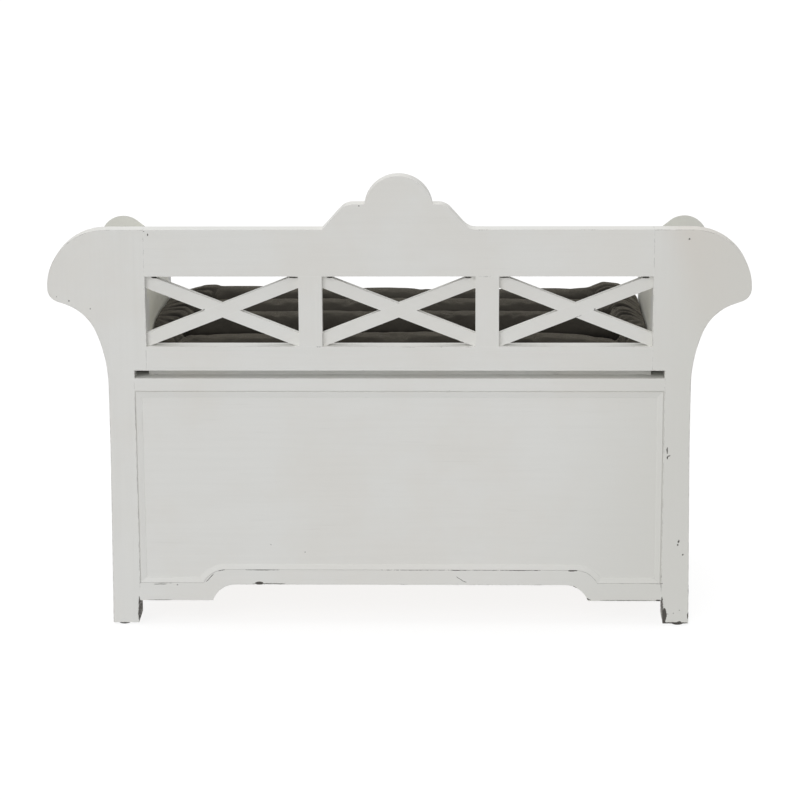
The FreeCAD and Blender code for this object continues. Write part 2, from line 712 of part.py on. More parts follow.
def bevel(body, test, outer):
    """Bevel the face edges that the test picks, from the land down to the inner edge."""
    doc.recompute()
    tip = body.Tip
    picked = []
    for number, edge in enumerate(tip.Shape.Edges, 1):
        points = [vertex.Point for vertex in edge.Vertexes] + [edge.CenterOfMass]
        if all(test(point) for point in points):
            picked.append(f"Edge{number}")
    feature = body.newObject("PartDesign::Chamfer", "Bevel")
    feature.Base = (tip, picked)
    feature.ChamferType = "Two distances"
    bind(feature, Size="bead_width - bead_land", Size2="bead_depth - bead_edge")
    feature.FlipDirection = True
    doc.recompute()
    if feature.Shape.isNull() or face_area(feature, outer) > face_area(tip, outer) / 2:
        feature.FlipDirection = False
        doc.recompute()


def face_area(feature, place):
    """Area of the faces that lie at a place along the depth."""
    faces = feature.Shape.Faces
    return sum(face.Area for face in faces if abs(face.CenterOfMass.y - place) < CLOSE)


def make_beads(name, face, way):
    """Bevelled strips round the panel, mitred at the corners. The lower one follows the apron."""
    outer_x = f"({LEG_IN} - bead_gap)"
    inner_x = f"({outer_x} - bead_width)"
    outer_top = f"({CHEST_RAIL} - bead_gap)"
    inner_top = f"({outer_top} - bead_width)"
    outer_low = f"({APRON_TOP} + bead_low_gap)"
    inner_low = f"({outer_low} + bead_width)"
    seat_place = f"({face}) - {way} * panel_setback"
    outward = -way
    outer = way * real("bead_depth")

    def on_face(point):
        return abs(point.y - outer) < CLOSE

    top = [(f"-{outer_x}", outer_top), (f"-{inner_x}", inner_top), (inner_x, inner_top), (outer_x, outer_top)]
    strip = board(f"chest_{name}_bead_top", top, seat_place, "bead_depth", outward)
    bevel(strip, lambda point: on_face(point) and abs(point.z - real(inner_top)) < CLOSE, outer)
    for side_name, side in SIDES:
        upright = [(outer_x, outer_low), (outer_x, outer_top), (inner_x, inner_top), (inner_x, inner_low)]
        strip = board(
            f"chest_{name}_bead_{side_name}", mirrored(upright, side), seat_place, "bead_depth", outward
        )
        inner = side * real(inner_x)
        bevel(strip, lambda point, inner=inner: on_face(point) and abs(point.x - inner) < CLOSE, outer)
    low = [(outer_x, outer_low), (inner_x, inner_low)] + apron_edge("(bead_low_gap + bead_width)")
    low += [(f"-{inner_x}", inner_low), (f"-{outer_x}", outer_low)] + backwards(apron_edge("bead_low_gap"))
    strip = board(f"chest_{name}_bead_low", low, seat_place, "bead_depth", outward)

    end = real(inner_x)
    bevel(strip, lambda point: on_face(point) and on_bead_edge(abs(point.x), point.z, end), outer)


def on_bead_edge(x, z, end):
    """Whether a point lies on the upper edge of the lower bead."""
    lift, run = real("apron_top_lift"), real("apron_top_run")
    offset = real("bead_low_gap + bead_width")
    radius = (run**2 + lift**2) / (2 * lift)
    flat, level = real(f"{LEG_IN} - apron_top_end - apron_top_run"), real(APRON_TOP)
    if x < flat + CLOSE:
        return abs(z - level - lift - offset) < CLOSE
    centre = level + lift - radius
    on_arc = abs(math.hypot(x - flat, z - centre) - radius - offset) < CLOSE
    return x < end + CLOSE and (on_arc or abs(z - level - offset) < CLOSE)


def make_rear_post(name, side):
    corners = leg_edges() + [
        (LEG_OUT, ARM_UNDER),
        (SEAT_HALF, ARM_UNDER),
        (SEAT_HALF, LOWER_RAIL),
        (LEG_IN, LOWER_RAIL),
    ]
    board(f"rear_post_{name}", mirrored(corners, side), FRAME_FRONT, "rear_post_depth")


def make_head(post, side):
    """Scroll that has its full size at the back of the post and draws in towards the front."""
    head = scroll("head", HEAD_TOP, "head_reach", "head_lean")
    root = f"({LEG_OUT} - leg_width / 2)"
    corners = [(root, head[0][1])] + head
    corners += [(SEAT_HALF, ARM_TOP), (SEAT_HALF, ARM_UNDER), (root, ARM_UNDER)]
    sketch = draw(sketch_on(post, "XZ_Plane", "-front_post_depth"), mirrored(corners, side))
    feature = pad(post, sketch, "front_post_depth")
    bind(feature, TaperAngle=f"-atan(min(head_draw; head_lobe * {DRAW_SHARE}) / front_post_depth)")
    doc.recompute()


def make_front_post(name, side):
    """Front leg with the scroll at the end of its arm."""
    corners = leg_edges() + [
        (LEG_OUT, ARM_TOP),
        (SEAT_HALF, ARM_TOP),
        (SEAT_HALF, CHEST_TOP),
        (LEG_IN, CHEST_TOP),
    ]
    post = board(f"front_post_{name}", mirrored(corners, side), FRONT_POST, "front_post_depth", -1)
    make_head(post, side)
    inset = "front_rail_setback - front_post_setback"
    mouth = "low" if side > 0 else "high"
    x_low, x_high = span(LEG_IN, f"{LEG_IN} + tenon_length", side)
    low, high = tenon_levels(CHEST_RAIL, CHEST_TOP, "groove_depth")
    mortise(post, x_low, x_high, low, high, f"{RAIL_TENON} + {inset}", -1, mouth)
    panel_groove(post, side, -1, f"panel_setback + {inset}")
    apron_seat(post, side, -1, inset)
    glide_hole(post, side, "front_post_depth / 2")


def make_sides():
    between = (FRONT_POST_BACK, POST_FRONT)
    inner_face = f"{SEAT_HALF} + arm_panel_thickness"
    boards = (
        ("side_bottom_rail", SIDE_RAIL_IN, SIDE_RAIL_OUT, ("apron_low", FLOOR_LEVEL)),
        ("side_panel", SIDE_PANEL_IN, SIDE_PANEL_OUT, (FLOOR_LEVEL, CHEST_RAIL)),
        ("side_top_rail", LEDGE, SIDE_RAIL_OUT, (CHEST_RAIL, CHEST_TOP)),
        ("arm_inner_panel", SEAT_HALF, inner_face, (CHEST_TOP, ARM_UNDER)),
        ("arm_outer_panel", SIDE_PANEL_IN, SIDE_PANEL_OUT, (CHEST_TOP, ARM_UNDER)),
    )
    for name, side in SIDES:
        for kind, low, high, levels in boards:
            label = f"{kind}_{name}"
            keep(label, block(label, span(low, high, side), between, levels))
        make_arm_rest(name, side)


def make_arm_rest(name, side):
    x_low, x_high = span(SEAT_HALF, f"{LEG_OUT} + arm_rest_overhang", side)
    depth, levels = (FRONT_POST_BACK, FRAME_FRONT), (ARM_UNDER, ARM_TOP)
    plain = block(f"arm_rest_board_{name}", (x_low, x_high), depth, levels)
    doc.recompute()
    rounded = doc.addObject("Part::Fillet", f"arm_rest_{name}")
    rounded.Base = plain
    radius = min(real("arm_rest_round"), real("arm_rest_thickness") * ROUND_SHARE)
    outer = side * real(f"{LEG_OUT} + arm_rest_overhang")
    top = real(ARM_TOP)
    picked = []
    for number, edge in enumerate(plain.Shape.Edges, 1):
        middle = edge.CenterOfMass
        along = abs(edge.Vertexes[0].Y - edge.Vertexes[-1].Y) > radius
        if along and (abs(middle.x - outer) < CLOSE or abs(middle.z - top) < CLOSE):
            picked.append((number, radius, radius))
    rounded.Edges = picked
    keep(f"arm_rest_{name}", rounded)


# Seat


def make_bearer():
    between = (f"-{LEG_IN}", LEG_IN)
    depth = (POST_FRONT, FRAME_FRONT)
    keep("seat_bearer", block("seat_bearer", between, depth, (f"{CHEST_TOP} - bearer_height", CHEST_TOP)))


def leaf_pocket(body, place, way, front, back):
    """Shallow seat for a hinge leaf and a deeper one for its barrel."""
    half = "(hinge_length / 2 + fit_clearance)"
    sketch = sketch_on(body, "XY_Plane", f"{LID_TOP} - leaf_thickness")
    draw(sketch, box_corners(f"{place} - {half}", f"{place} + {half}", front, back))
    pocket(body, sketch, "leaf_thickness * 2")
    inner = f"{HINGE_LINE} - {way} * (knuckle_radius + knuckle_gap)"
    low, high = (inner, back) if way > 0 else (front, inner)
    sketch = sketch_on(body, "XY_Plane", f"{LID_TOP} - leaf_thickness - knuckle_gap")
    draw(sketch, box_corners(f"{place} - {half}", f"{place} + {half}", low, high))
    pocket(body, sketch, "leaf_thickness * 2")


def screw_centres(way):
    """Places of the hinge screws: way is 1 for the lid and -1 for the fixed rail."""
    line = f"{HINGE_LINE} - {way} * screw_inset"
    return [(f"{place} + ({along})", line) for place in HINGE_PLACES for along in SCREW_PLACES]


def plank(name, x, y, z):
    """Flat board lying level."""
    body = keep(name, doc.addObject("PartDesign::Body", name))
    sketch = draw(sketch_on(body, "XY_Plane", z[0]), box_corners(x[0], x[1], y[0], y[1]))
    pad(body, sketch, f"{z[1]} - {z[0]}")
    return body


def screw_holes(body, way):
    sketch = circles(
        sketch_on(body, "XY_Plane", f"{LID_TOP} - screw_length - fit_clearance"),
        screw_centres(way),
        "screw_radius + hole_clearance",
    )
    pocket(body, sketch, "screw_length + lid_thickness")


def make_hinge_rail():
    depth = (f"{HINGE_LINE} + lid_rear_gap / 2", FRAME_FRONT)
    rail = plank("hinge_rail", (f"-{SEAT_HALF}", SEAT_HALF), depth, (CHEST_TOP, LID_TOP))
    for place in HINGE_PLACES:
        leaf_pocket(rail, place, -1, f"{HINGE_LINE}", f"{HINGE_LINE} + hinge_leaf + fit_clearance")
    screw_holes(rail, -1)


def make_lid():
    depth = (LID_FRONT, f"{HINGE_LINE} - lid_rear_gap / 2")
    lid = plank("seat_lid", (f"-{LID_HALF}", LID_HALF), depth, (LID_UNDER, LID_TOP))
    for place in HINGE_PLACES:
        leaf_pocket(lid, place, 1, f"{HINGE_LINE} - hinge_leaf - fit_clearance", f"{HINGE_LINE}")
    screw_holes(lid, 1)
    sketch = circles(sketch_on(lid, "XY_Plane", LID_UNDER), batten_centres(), "screw_radius + hole_clearance")
    pocket(lid, sketch, "screw_length - batten_thickness / 2 + fit_clearance")
    tip = lid.Tip
    picked = []
    for number, edge in enumerate(tip.Shape.Edges, 1):
        middle = edge.CenterOfMass
        if abs(middle.y - real(LID_FRONT)) < CLOSE and edge.Length > real("lid_thickness") * 2:
            picked.append(f"Edge{number}")
    feature = lid.newObject("PartDesign::Fillet", "FrontRound")
    feature.Base = (tip, picked)
    bind(feature, Radius=f"min(lid_round; lid_thickness * {ROUND_SHARE})")


def batten_centres():
    front = f"({FRONT_FACE} + back_thickness + batten_end_gap)"
    back = f"({HINGE_LINE} - batten_end_gap)"
    along = (f"{front} + batten_screw_inset", f"({front} + {back}) / 2", f"{back} - batten_screw_inset")
    return [(f"{side} * {BATTEN_PLACE}", place) for side in (1, -1) for place in along]


def make_battens():
    """Battens under the lid, their screws sunk from below to half their thickness."""
    under = f"({LID_UNDER} - batten_thickness)"
    front = f"({FRONT_FACE} + back_thickness + batten_end_gap)"
    back = f"({HINGE_LINE} - batten_end_gap)"
    for name, side in SIDES:
        middle = f"{side} * {BATTEN_PLACE}"
        edges = (f"{middle} - batten_width / 2", f"{middle} + batten_width / 2")
        batten = plank(f"lid_batten_{name}", edges, (front, back), (under, LID_UNDER))
        centres = [centre for centre in batten_centres() if centre[0].startswith(f"{side} ")]
        sketch = circles(
            sketch_on(batten, "XY_Plane", under), centres, "screw_radius + hole_clearance"
        )
        pocket(batten, sketch, "batten_thickness")
        sketch = circles(
            sketch_on(batten, "XY_Plane", under), centres, "screw_head + hole_clearance"
        )
        pocket(batten, sketch, "batten_thickness / 2")
    screws = []
    level = f"({LID_UNDER} - batten_thickness / 2)"
    for number, (x_rule, y_rule) in enumerate(batten_centres()):
        name = f"batten_screw_{number}"
        shank = rod(name + "_shank", "screw_radius", "screw_length", x_rule, y_rule, level)
        head = rod(name + "_head", "screw_head", "screw_sink", x_rule, y_rule, f"{level} - screw_sink")
        screws.append(plus(name, [shank, head]))
    group("batten_screws", screws)


# Hinges


def round_along(name, radius, start):
    """Cylinder as long as a hinge, on its axis."""
    return rod(name, radius, "hinge_length", start, HINGE_LINE, HINGE_LEVEL, "x")


def make_hinges():
    """Three butt hinges, each with two leaves that share five knuckles on one pin."""
    step = f"(hinge_length / {KNUCKLES})"
    fixed, moving, pins = [], [], []
    for number, place in enumerate(HINGE_PLACES):
        start = f"({place} - hinge_length / 2)"
        for way, leaves in ((-1, fixed), (1, moving)):
            name = f"hinge_{number}_{'lid' if way > 0 else 'rail'}"
            depth = (HINGE_LINE, f"{HINGE_LINE} + hinge_leaf")
            if way > 0:
                depth = (f"{HINGE_LINE} - hinge_leaf", HINGE_LINE)
            levels = (f"{LID_TOP} - leaf_thickness", LID_TOP)
            plate = block(name + "_plate", (start, f"{start} + hinge_length"), depth, levels)
            barrel = round_along(name + "_barrel", "knuckle_radius", start)
            tools = [round_along(name + "_bore", "hinge_pin_radius + pin_clearance", start)]
            for knuckle in range(KNUCKLES):
                if (knuckle % 2 == 0) == (way > 0):
                    tools.append(knuckle_space(f"{name}_space_{knuckle}", start, step, knuckle))
            for spot, along in enumerate(SCREW_PLACES):
                line = f"{HINGE_LINE} - {way} * screw_inset"
                level = f"{LID_TOP} - leaf_thickness"
                spread = f"{place} + ({along})"
                tools.append(screw_head(f"{name}_sink_{spot}", spread, line, level, "hole_clearance"))
            leaves.append(minus(name, plus(name + "_body", [plate, barrel]), tools))
        pins.append(round_along(f"hinge_{number}_pin", "hinge_pin_radius", start))
    group("hinge_leaves_rail", fixed)
    group("hinge_leaves_lid", moving)
    group("hinge_pins", pins)
    for name, way in (("lid", 1), ("rail", -1)):
        screws = []
        for number, (x_rule, y_rule) in enumerate(screw_centres(way)):
            label = f"hinge_screw_{name}_{number}"
            level = f"{LID_TOP} - screw_length"
            length = "screw_length - leaf_thickness"
            shank = rod(label + "_shank", "screw_radius", length, x_rule, y_rule, level)
            head = screw_head(label + "_head", x_rule, y_rule, f"{LID_TOP} - leaf_thickness")
            screws.append(plus(label, [shank, head]))
        group(f"hinge_screws_{name}", screws)


def knuckle_space(name, start, step, knuckle):
    """Room in one leaf for a knuckle of the other."""
    ends = (
        f"{start} + {knuckle} * {step} - knuckle_gap / 2",
        f"{start} + {knuckle + 1} * {step} + knuckle_gap / 2",
    )
    room = "(knuckle_radius + knuckle_gap)"
    depth = (f"{HINGE_LINE} - {room}", f"{HINGE_LINE} + {room}")
    return block(name, ends, depth, (f"{HINGE_LEVEL} - {room}", f"{HINGE_LEVEL} + {room}"))


def screw_head(name, x, y, z, clearance="0"):
    """Countersunk head, flush with the top of the leaf."""
    head = doc.addObject("Part::Cone", name)
    bind(head, Radius1=f"screw_radius + {clearance}", Radius2=f"screw_head + {clearance}")
    bind(head, Height="leaf_thickness")
    put(head, x, y, z)
    return head


# Chest floor


def make_floor():
    out = f"({SIDE_PANEL_IN} - fit_clearance)"
    near = f"({LEG_IN} - fit_clearance)"
    front = f"({FRONT_FACE} + {INSIDE} + fit_clearance)"
    back = f"({BACK} - {INSIDE} - fit_clearance)"
    front_notch = f"({FRONT_POST_BACK} + fit_clearance)"
    back_notch = f"({POST_FRONT} - fit_clearance)"
    right = [(near, front), (near, front_notch), (out, front_notch)]
    right += [(out, back_notch), (near, back_notch), (near, back)]
    left = [(f"-{x}", y) for x, y in reversed(right)]
    body = keep("chest_floor", doc.addObject("PartDesign::Body", "chest_floor"))
    pad(body, draw(sketch_on(body, "XY_Plane", FLOOR_LEVEL), right + left), "floor_thickness")
    strips = []
    levels = (f"{FLOOR_LEVEL} - cleat_size", FLOOR_LEVEL)
    for name, side in SIDES:
        x = span(f"{SIDE_RAIL_IN} - cleat_size", SIDE_RAIL_IN, side)
        strips.append(block(f"cleat_{name}", x, (FRONT_POST_BACK, POST_FRONT), levels))
    inner = f"({SIDE_RAIL_IN} - cleat_size)"
    across = (f"-{inner}", inner)
    inside_back = f"({BACK} - {INSIDE})"
    inside_front = f"({FRONT_FACE} + {INSIDE})"
    strips.append(block("cleat_back", across, (f"{inside_back} - cleat_size", inside_back), levels))
    strips.append(block("cleat_front", across, (inside_front, f"{inside_front} + cleat_size"), levels))
    group("floor_cleats", strips)


def make_corner_blocks():
    """Three-cornered blocks glued in the upper corners, behind the rails."""
    blocks = []
    top = f"({CHEST_RAIL} - fit_clearance)"
    low = f"{top} - corner_block_height"
    front = f"({FRONT_FACE} + panel_setback + panel_thickness)"
    for name, side in SIDES:
        wedge = doc.addObject("PartDesign::Body", f"corner_block_{name}")
        corners = [
            (f"{side} * {LEG_IN}", front),
            (f"{side} * {LEG_IN}", f"{front} + corner_block"),
            (f"{side} * ({LEG_IN} - corner_block)", front),
        ]
        pad(wedge, draw(sketch_on(wedge, "XY_Plane", low), corners), "corner_block_height")
        blocks.append(wedge)
    group("corner_blocks", blocks)


# Feet


def make_glides():
    glides = []
    for side_name, side in SIDES:
        middle = f"{side} * {GLIDE_PLACE}"
        ends = (("rear", f"{BACK} - glide_inset"), ("front", f"{FRONT_POST} + front_post_depth / 2"))
        for end_name, place in ends:
            name = f"glide_{end_name}_{side_name}"
            disc = rod(name + "_disc", "glide_radius", "glide_height", middle, place, "0")
            nail = rod(name + "_nail", "glide_stem", "glide_stem_length", middle, place, "0")
            glides.append(plus(name, [disc, nail]))
    group("foot_glides", glides)


# Cushion


# Shares that shape a cross section of the cushion
BULGE = 0.42
SHOULDER_PLACE = 0.16
SHOULDER_LEVEL = 0.55
CREST_FALL = 0.3
END_LIFT = 0.33
# Sections of an end with its cross roll: shares of its length, of the full height, of the draw
# and of the depth of the channels
END_SECTIONS = (
    (0, 0.6, 1, 0.2),
    (0.08, 0.82, 0.6, 0.25),
    (0.25, 1.02, 0.2, 0.3),
    (0.5, 1.1, 0, 0.35),
    (0.8, 1, 0, 0.8),
    (1, 0.94, 0, 1),
)


def cushion_outline(x, swell, draw_share, channel_share):
    """Cross section at x: flat underneath, round at both long sides, rolls on top."""
    drawn_in = real("end_draw") * draw_share
    rear = real(f"{HINGE_LINE} - cushion_rear_gap") - drawn_in
    front = real(f"{LID_FRONT} + cushion_front_gap") + drawn_in
    count = round(real("channel_count"))
    full = real("cushion_height")
    bottom = real(f"{LID_TOP} + cushion_lift") + max(1 - swell, 0) * full * END_LIFT
    height = full * swell
    depth = real("channel_depth") * swell
    valley = depth * channel_share
    tuck = real("cushion_tuck")
    roll = (rear - front) / count
    crest = bottom + height
    rear_crest = crest - real("rear_roll_drop") * swell

    def point(y, z):
        return FreeCAD.Vector(x, y, z)

    def end_roll(edge, inward, level):
        """Lower corner to the first channel, round the long side."""
        low = point(edge + inward * tuck, bottom)
        side = point(edge, bottom + (level - bottom) * BULGE)
        shoulder = point(edge + inward * roll * SHOULDER_PLACE, level - depth * SHOULDER_LEVEL)
        rise = point(edge + inward * roll / 4, level - depth * CREST_FALL)
        top = point(edge + inward * roll / 2, level)
        fall = point(edge + inward * roll * 3 / 4, level - valley * CREST_FALL)
        channel = point(edge + inward * roll, level - valley)
        return [(low, side, shoulder), (shoulder, rise, top), (top, fall, channel)]

    arcs = end_roll(front, 1, crest)
    for number in range(1, count - 1):
        start = point(front + roll * number, crest - valley)
        end = point(start.y + roll, (rear_crest if number == count - 2 else crest) - valley)
        arcs.append((start, point((start.y + end.y) / 2, crest), end))
    arcs += [(end, middle, start) for start, middle, end in reversed(end_roll(rear, -1, rear_crest))]
    edges = [Part.Arc(start, middle, end).toShape() for start, middle, end in arcs]
    edges.append(Part.LineSegment(arcs[-1][2], arcs[0][0]).toShape())
    return Part.Wire(edges)


def make_cushion():
    """Loose cushion with sewn rolls along its length, fuller halfway and round at its ends."""
    half = real(f"{SEAT_HALF} - cushion_side_gap")
    length = real("end_round")
    crown = real("(cushion_height + cushion_crown) / cushion_height")
    sections = [cushion_outline(length * place - half, *shares) for place, *shares in END_SECTIONS]
    sections.append(cushion_outline(0, crown, 0, 1))
    ends = reversed(END_SECTIONS)
    sections += [cushion_outline(half - length * place, *shares) for place, *shares in ends]
    cushion = doc.addObject("Part::Feature", "seat_cushion")
    cushion.Shape = Part.makeLoft(sections, True, True)
    keep("seat_cushion", cushion)


def build():
    top_rail = make_top_rail()
    mullion_seats(top_rail, WINDOW_TOP, True)
    lower_rail = make_lower_rail()
    mullion_seats(lower_rail, SILL, False)
    for name, side in SIDES:
        make_stile(name, side)
        make_mullion(name, side)
        make_rear_post(name, side)
        make_front_post(name, side)
    for window, place in ((-1, "left"), (0, "middle"), (1, "right")):
        make_bar(window, 1, f"lattice_{place}_front_bar")
        make_bar(window, -1, f"lattice_{place}_rear_bar")
    for name, face, way in FACES:
        make_chest_rail(name, face, way)
        make_apron(name, face, way)
        make_panel(name, face, way)
        make_beads(name, face, way)
    make_sides()
    make_bearer()
    make_hinge_rail()
    make_lid()
    make_battens()
    make_hinges()
    make_floor()
    make_corner_blocks()
    make_glides()
    make_cushion()


def check_and_write():
    doc.recompute()
    for thing in doc.Objects:
        if "Invalid" in thing.State or "Error" in thing.State:
            raise ValueError(f"{thing.Label} has failed: {thing.State}")
    for name, node in nodes.items():
        if node.Shape.isNull() or not node.Shape.isValid() or not node.Shape.Solids:
            raise ValueError(f"{name} has no valid shape")
    os.makedirs("parts", exist_ok=True)
    for name, node in nodes.items():
        node.Shape.exportStep(f"parts/{name}.step")
        box = node.Shape.BoundBox
        size = f"{box.XLength:7.1f} {box.YLength:7.1f} {box.ZLength:7.1f}"
        print(f"{name:28s} {len(node.Shape.Solids):2d} solids  {size}")
    print(len(nodes), "nodes")


build()
check_and_write()
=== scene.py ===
"""Finishes, cushion, light and camera of a painted storage bench."""

import math

import bpy
import numpy as np
from mathutils import Matrix, Vector


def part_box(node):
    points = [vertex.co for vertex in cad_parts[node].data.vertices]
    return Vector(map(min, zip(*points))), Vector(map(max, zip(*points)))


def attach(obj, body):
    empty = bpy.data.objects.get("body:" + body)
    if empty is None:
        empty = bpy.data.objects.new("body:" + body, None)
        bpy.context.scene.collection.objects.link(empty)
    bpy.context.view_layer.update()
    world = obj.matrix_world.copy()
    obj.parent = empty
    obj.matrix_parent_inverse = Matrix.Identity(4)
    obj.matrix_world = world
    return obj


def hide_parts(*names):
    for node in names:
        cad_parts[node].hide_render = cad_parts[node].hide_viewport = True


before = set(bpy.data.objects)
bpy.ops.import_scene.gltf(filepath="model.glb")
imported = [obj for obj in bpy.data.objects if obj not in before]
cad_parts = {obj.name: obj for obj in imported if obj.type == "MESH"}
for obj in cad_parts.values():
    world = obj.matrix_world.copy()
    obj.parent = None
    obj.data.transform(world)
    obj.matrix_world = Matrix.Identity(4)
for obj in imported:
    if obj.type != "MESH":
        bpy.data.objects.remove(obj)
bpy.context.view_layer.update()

# Places taken from the frame, in metres
BACK_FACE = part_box("back_top_rail")[1].y
CUSHION_LOW, CUSHION_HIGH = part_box("seat_cushion")

# Camera: solved from the corners of the back frame
CAMERA_PLACE = (-0.11509, 5.11291, 1.6843)
CAMERA_YAW = math.radians(1.332)
CAMERA_PITCH = math.radians(14.63)
CAMERA_ROLL = math.radians(-0.302)
CAMERA_LENS = 132.27
SENSOR_WIDTH = 36

# Colours, linear
PAINT = (0.80, 0.80, 0.775)
PAINT_WARM = (0.785, 0.775, 0.74)
# Painted highlight: lighter paint along the edges, where they catch the light
EDGE_HIGHLIGHT = (0.90, 0.90, 0.88)
# Painted shade on the outer ear of one stile: darker and warmer
EAR_SHADE_TONE = (0.745, 0.70, 0.645)
# Cream paint on the arms, also made lighter than the rest: painted light on their inner faces
ARM_TONES_LIGHTENED = ((0.86, 0.85, 0.745), (0.83, 0.82, 0.71))
# Darker paint on the two front posts, darkest on one: painted shade
SHADED_POST_TONES = {"front_post_right": ((0.70, 0.70, 0.655), (0.68, 0.68, 0.63)),
                "front_post_left": ((0.63, 0.64, 0.58), (0.62, 0.62, 0.56))}
# Darker, warmer tone for painted shade towards one side
SIDE_SHADE_TONE = (0.715, 0.712, 0.672)
# Dark colour of bared wood, also used for painted shade marks
BARED_AND_SHADED = (0.035, 0.029, 0.022)
UNDERCOAT = (0.42, 0.41, 0.38)

# How far the listed marks reach in from the back face: worn paint on that face only, or painted shade along
# the faces behind it
SHALLOW_REACH = 0.006
DEEP_REACH = 0.100
CHIP_AND_SHADE_STRENGTH = 0.94
STILE_RIM = 0.75

# Listed marks of wear, and further down of painted shade: place across, height, half width, half height, and
# at times a slope in degrees
APRON_WEAR = (
    (0.4197, 0.0748, 0.0114, 0.0006),
    (0.3899, 0.0736, 0.0012, 0.0010),
    (0.3104, 0.1012, 0.0085, 0.0013, -12),
    (0.3325, 0.0865, 0.0105, 0.0006, -48),
    (0.2405, 0.1010, 0.0306, 0.0005),
    (-0.1666, 0.1012, 0.0795, 0.0004),
    (-0.1020, 0.1010, 0.0150, 0.0007),
    (-0.2100, 0.1010, 0.0360, 0.0006),
    (-0.0350, 0.1012, 0.0700, 0.0004),
    (-0.3007, 0.1004, 0.0079, 0.0012),
    (0.2461, 0.0768, 0.0072, 0.0030),
    (0.2292, 0.0760, 0.0297, 0.0006),
    (0.3126, 0.0645, 0.0014, 0.0016),
    (-0.1010, 0.0875, 0.0035, 0.0004, 40),
    (-0.1075, 0.0830, 0.0060, 0.0004, 35),
    (-0.1130, 0.0800, 0.0030, 0.0004, 20),
    (-0.1700, 0.0738, 0.0830, 0.0004),
    (-0.2405, 0.0739, 0.0105, 0.0007),
    (-0.3089, 0.0668, 0.0086, 0.0010, 44),
    (-0.3195, 0.0558, 0.0067, 0.0010, 49),
    (-0.3283, 0.0486, 0.0047, 0.0009, 22),
    (0.4214, 0.0456, 0.0228, 0.0005),
    (-0.3980, 0.0463, 0.0490, 0.0005),
    (-0.4510, 0.0462, 0.0050, 0.0014),
)
# On the stile at negative x
EVEN_STILE_WEAR = (
    (-0.4618, 0.3185, 0.0011, 0.0062),
    (-0.4645, 0.3085, 0.0030, 0.0008, -15),
    (-0.4625, 0.3055, 0.0010, 0.0028),
    (-0.4839, 0.1536, 0.0014, 0.0020),
    (-0.4831, 0.1480, 0.0014, 0.0018),
    (-0.4850, 0.1560, 0.0020, 0.0007, 40),
    (-0.4920, 0.1302, 0.0016, 0.0014, -30),
    (-0.4926, 0.6897, 0.0014, 0.0014),
    (-0.5037, 0.0657, 0.0010, 0.0120),
    (-0.5031, 0.0189, 0.0010, 0.0060),
    (-0.4620, 0.0195, 0.0034, 0.0135),
    (-0.4610, 0.0085, 0.0030, 0.0070),
    (-0.4800, 0.0052, 0.0230, 0.0013),
    (-0.4880, 0.0066, 0.0032, 0.0019),
    (-0.4877, 0.0284, 0.0008, 0.0008),
    (-0.4775, 0.0228, 0.0008, 0.0008),
    (-0.4674, 0.0215, 0.0008, 0.0008),
    (-0.4559, 0.0775, 0.0024, 0.0005),
)
# On the stile at positive x
SPLIT_STILE_WEAR = (
    (0.5843, 0.5898, 0.0009, 0.0009),
    (0.5633, 0.5826, 0.0012, 0.0010),
    (0.5271, 0.5688, 0.0010, 0.0010),
    (0.5748, 0.5770, 0.0018, 0.0008),
    (0.4537, 0.0821, 0.0020, 0.0005),
    (0.4539, 0.0765, 0.0024, 0.0005),
)
# Shadowed joints where the crossed bars meet the frame
BAR_JOINTS = (
    (0.4148, 0.6217, 0.0075, 0.0018),
    (-0.4205, 0.6217, 0.0068, 0.0018),
    (0.1796, 0.6217, 0.0075, 0.0012),
    (0.1171, 0.6217, 0.0055, 0.0015),
    (-0.1181, 0.6217, 0.0058, 0.0015),
    (-0.1802, 0.6217, 0.0080, 0.0012),
    (-0.3347, 0.5661, 0.0014, 0.0010),
    (0.3335, 0.5655, 0.0012, 0.0009),
)
RAIL_WEAR = (
    (0.4256, 0.6977, 0.0013, 0.0020),
    (0.4321, 0.7033, 0.0008, 0.0008),
    (0.0667, 0.7469, 0.0010, 0.0010),
)
# Painted shade on the inner faces of the feet
FOOT_SHADE = (
    (0.4575, 0.0225, 0.0022, 0.0300),
    (-0.4573, 0.0235, 0.0022, 0.0300),
)
PANEL_WEAR = (
    (0.2252, 0.1466, 0.0008, 0.0007),
    (0.1657, 0.1330, 0.0007, 0.0008),
)


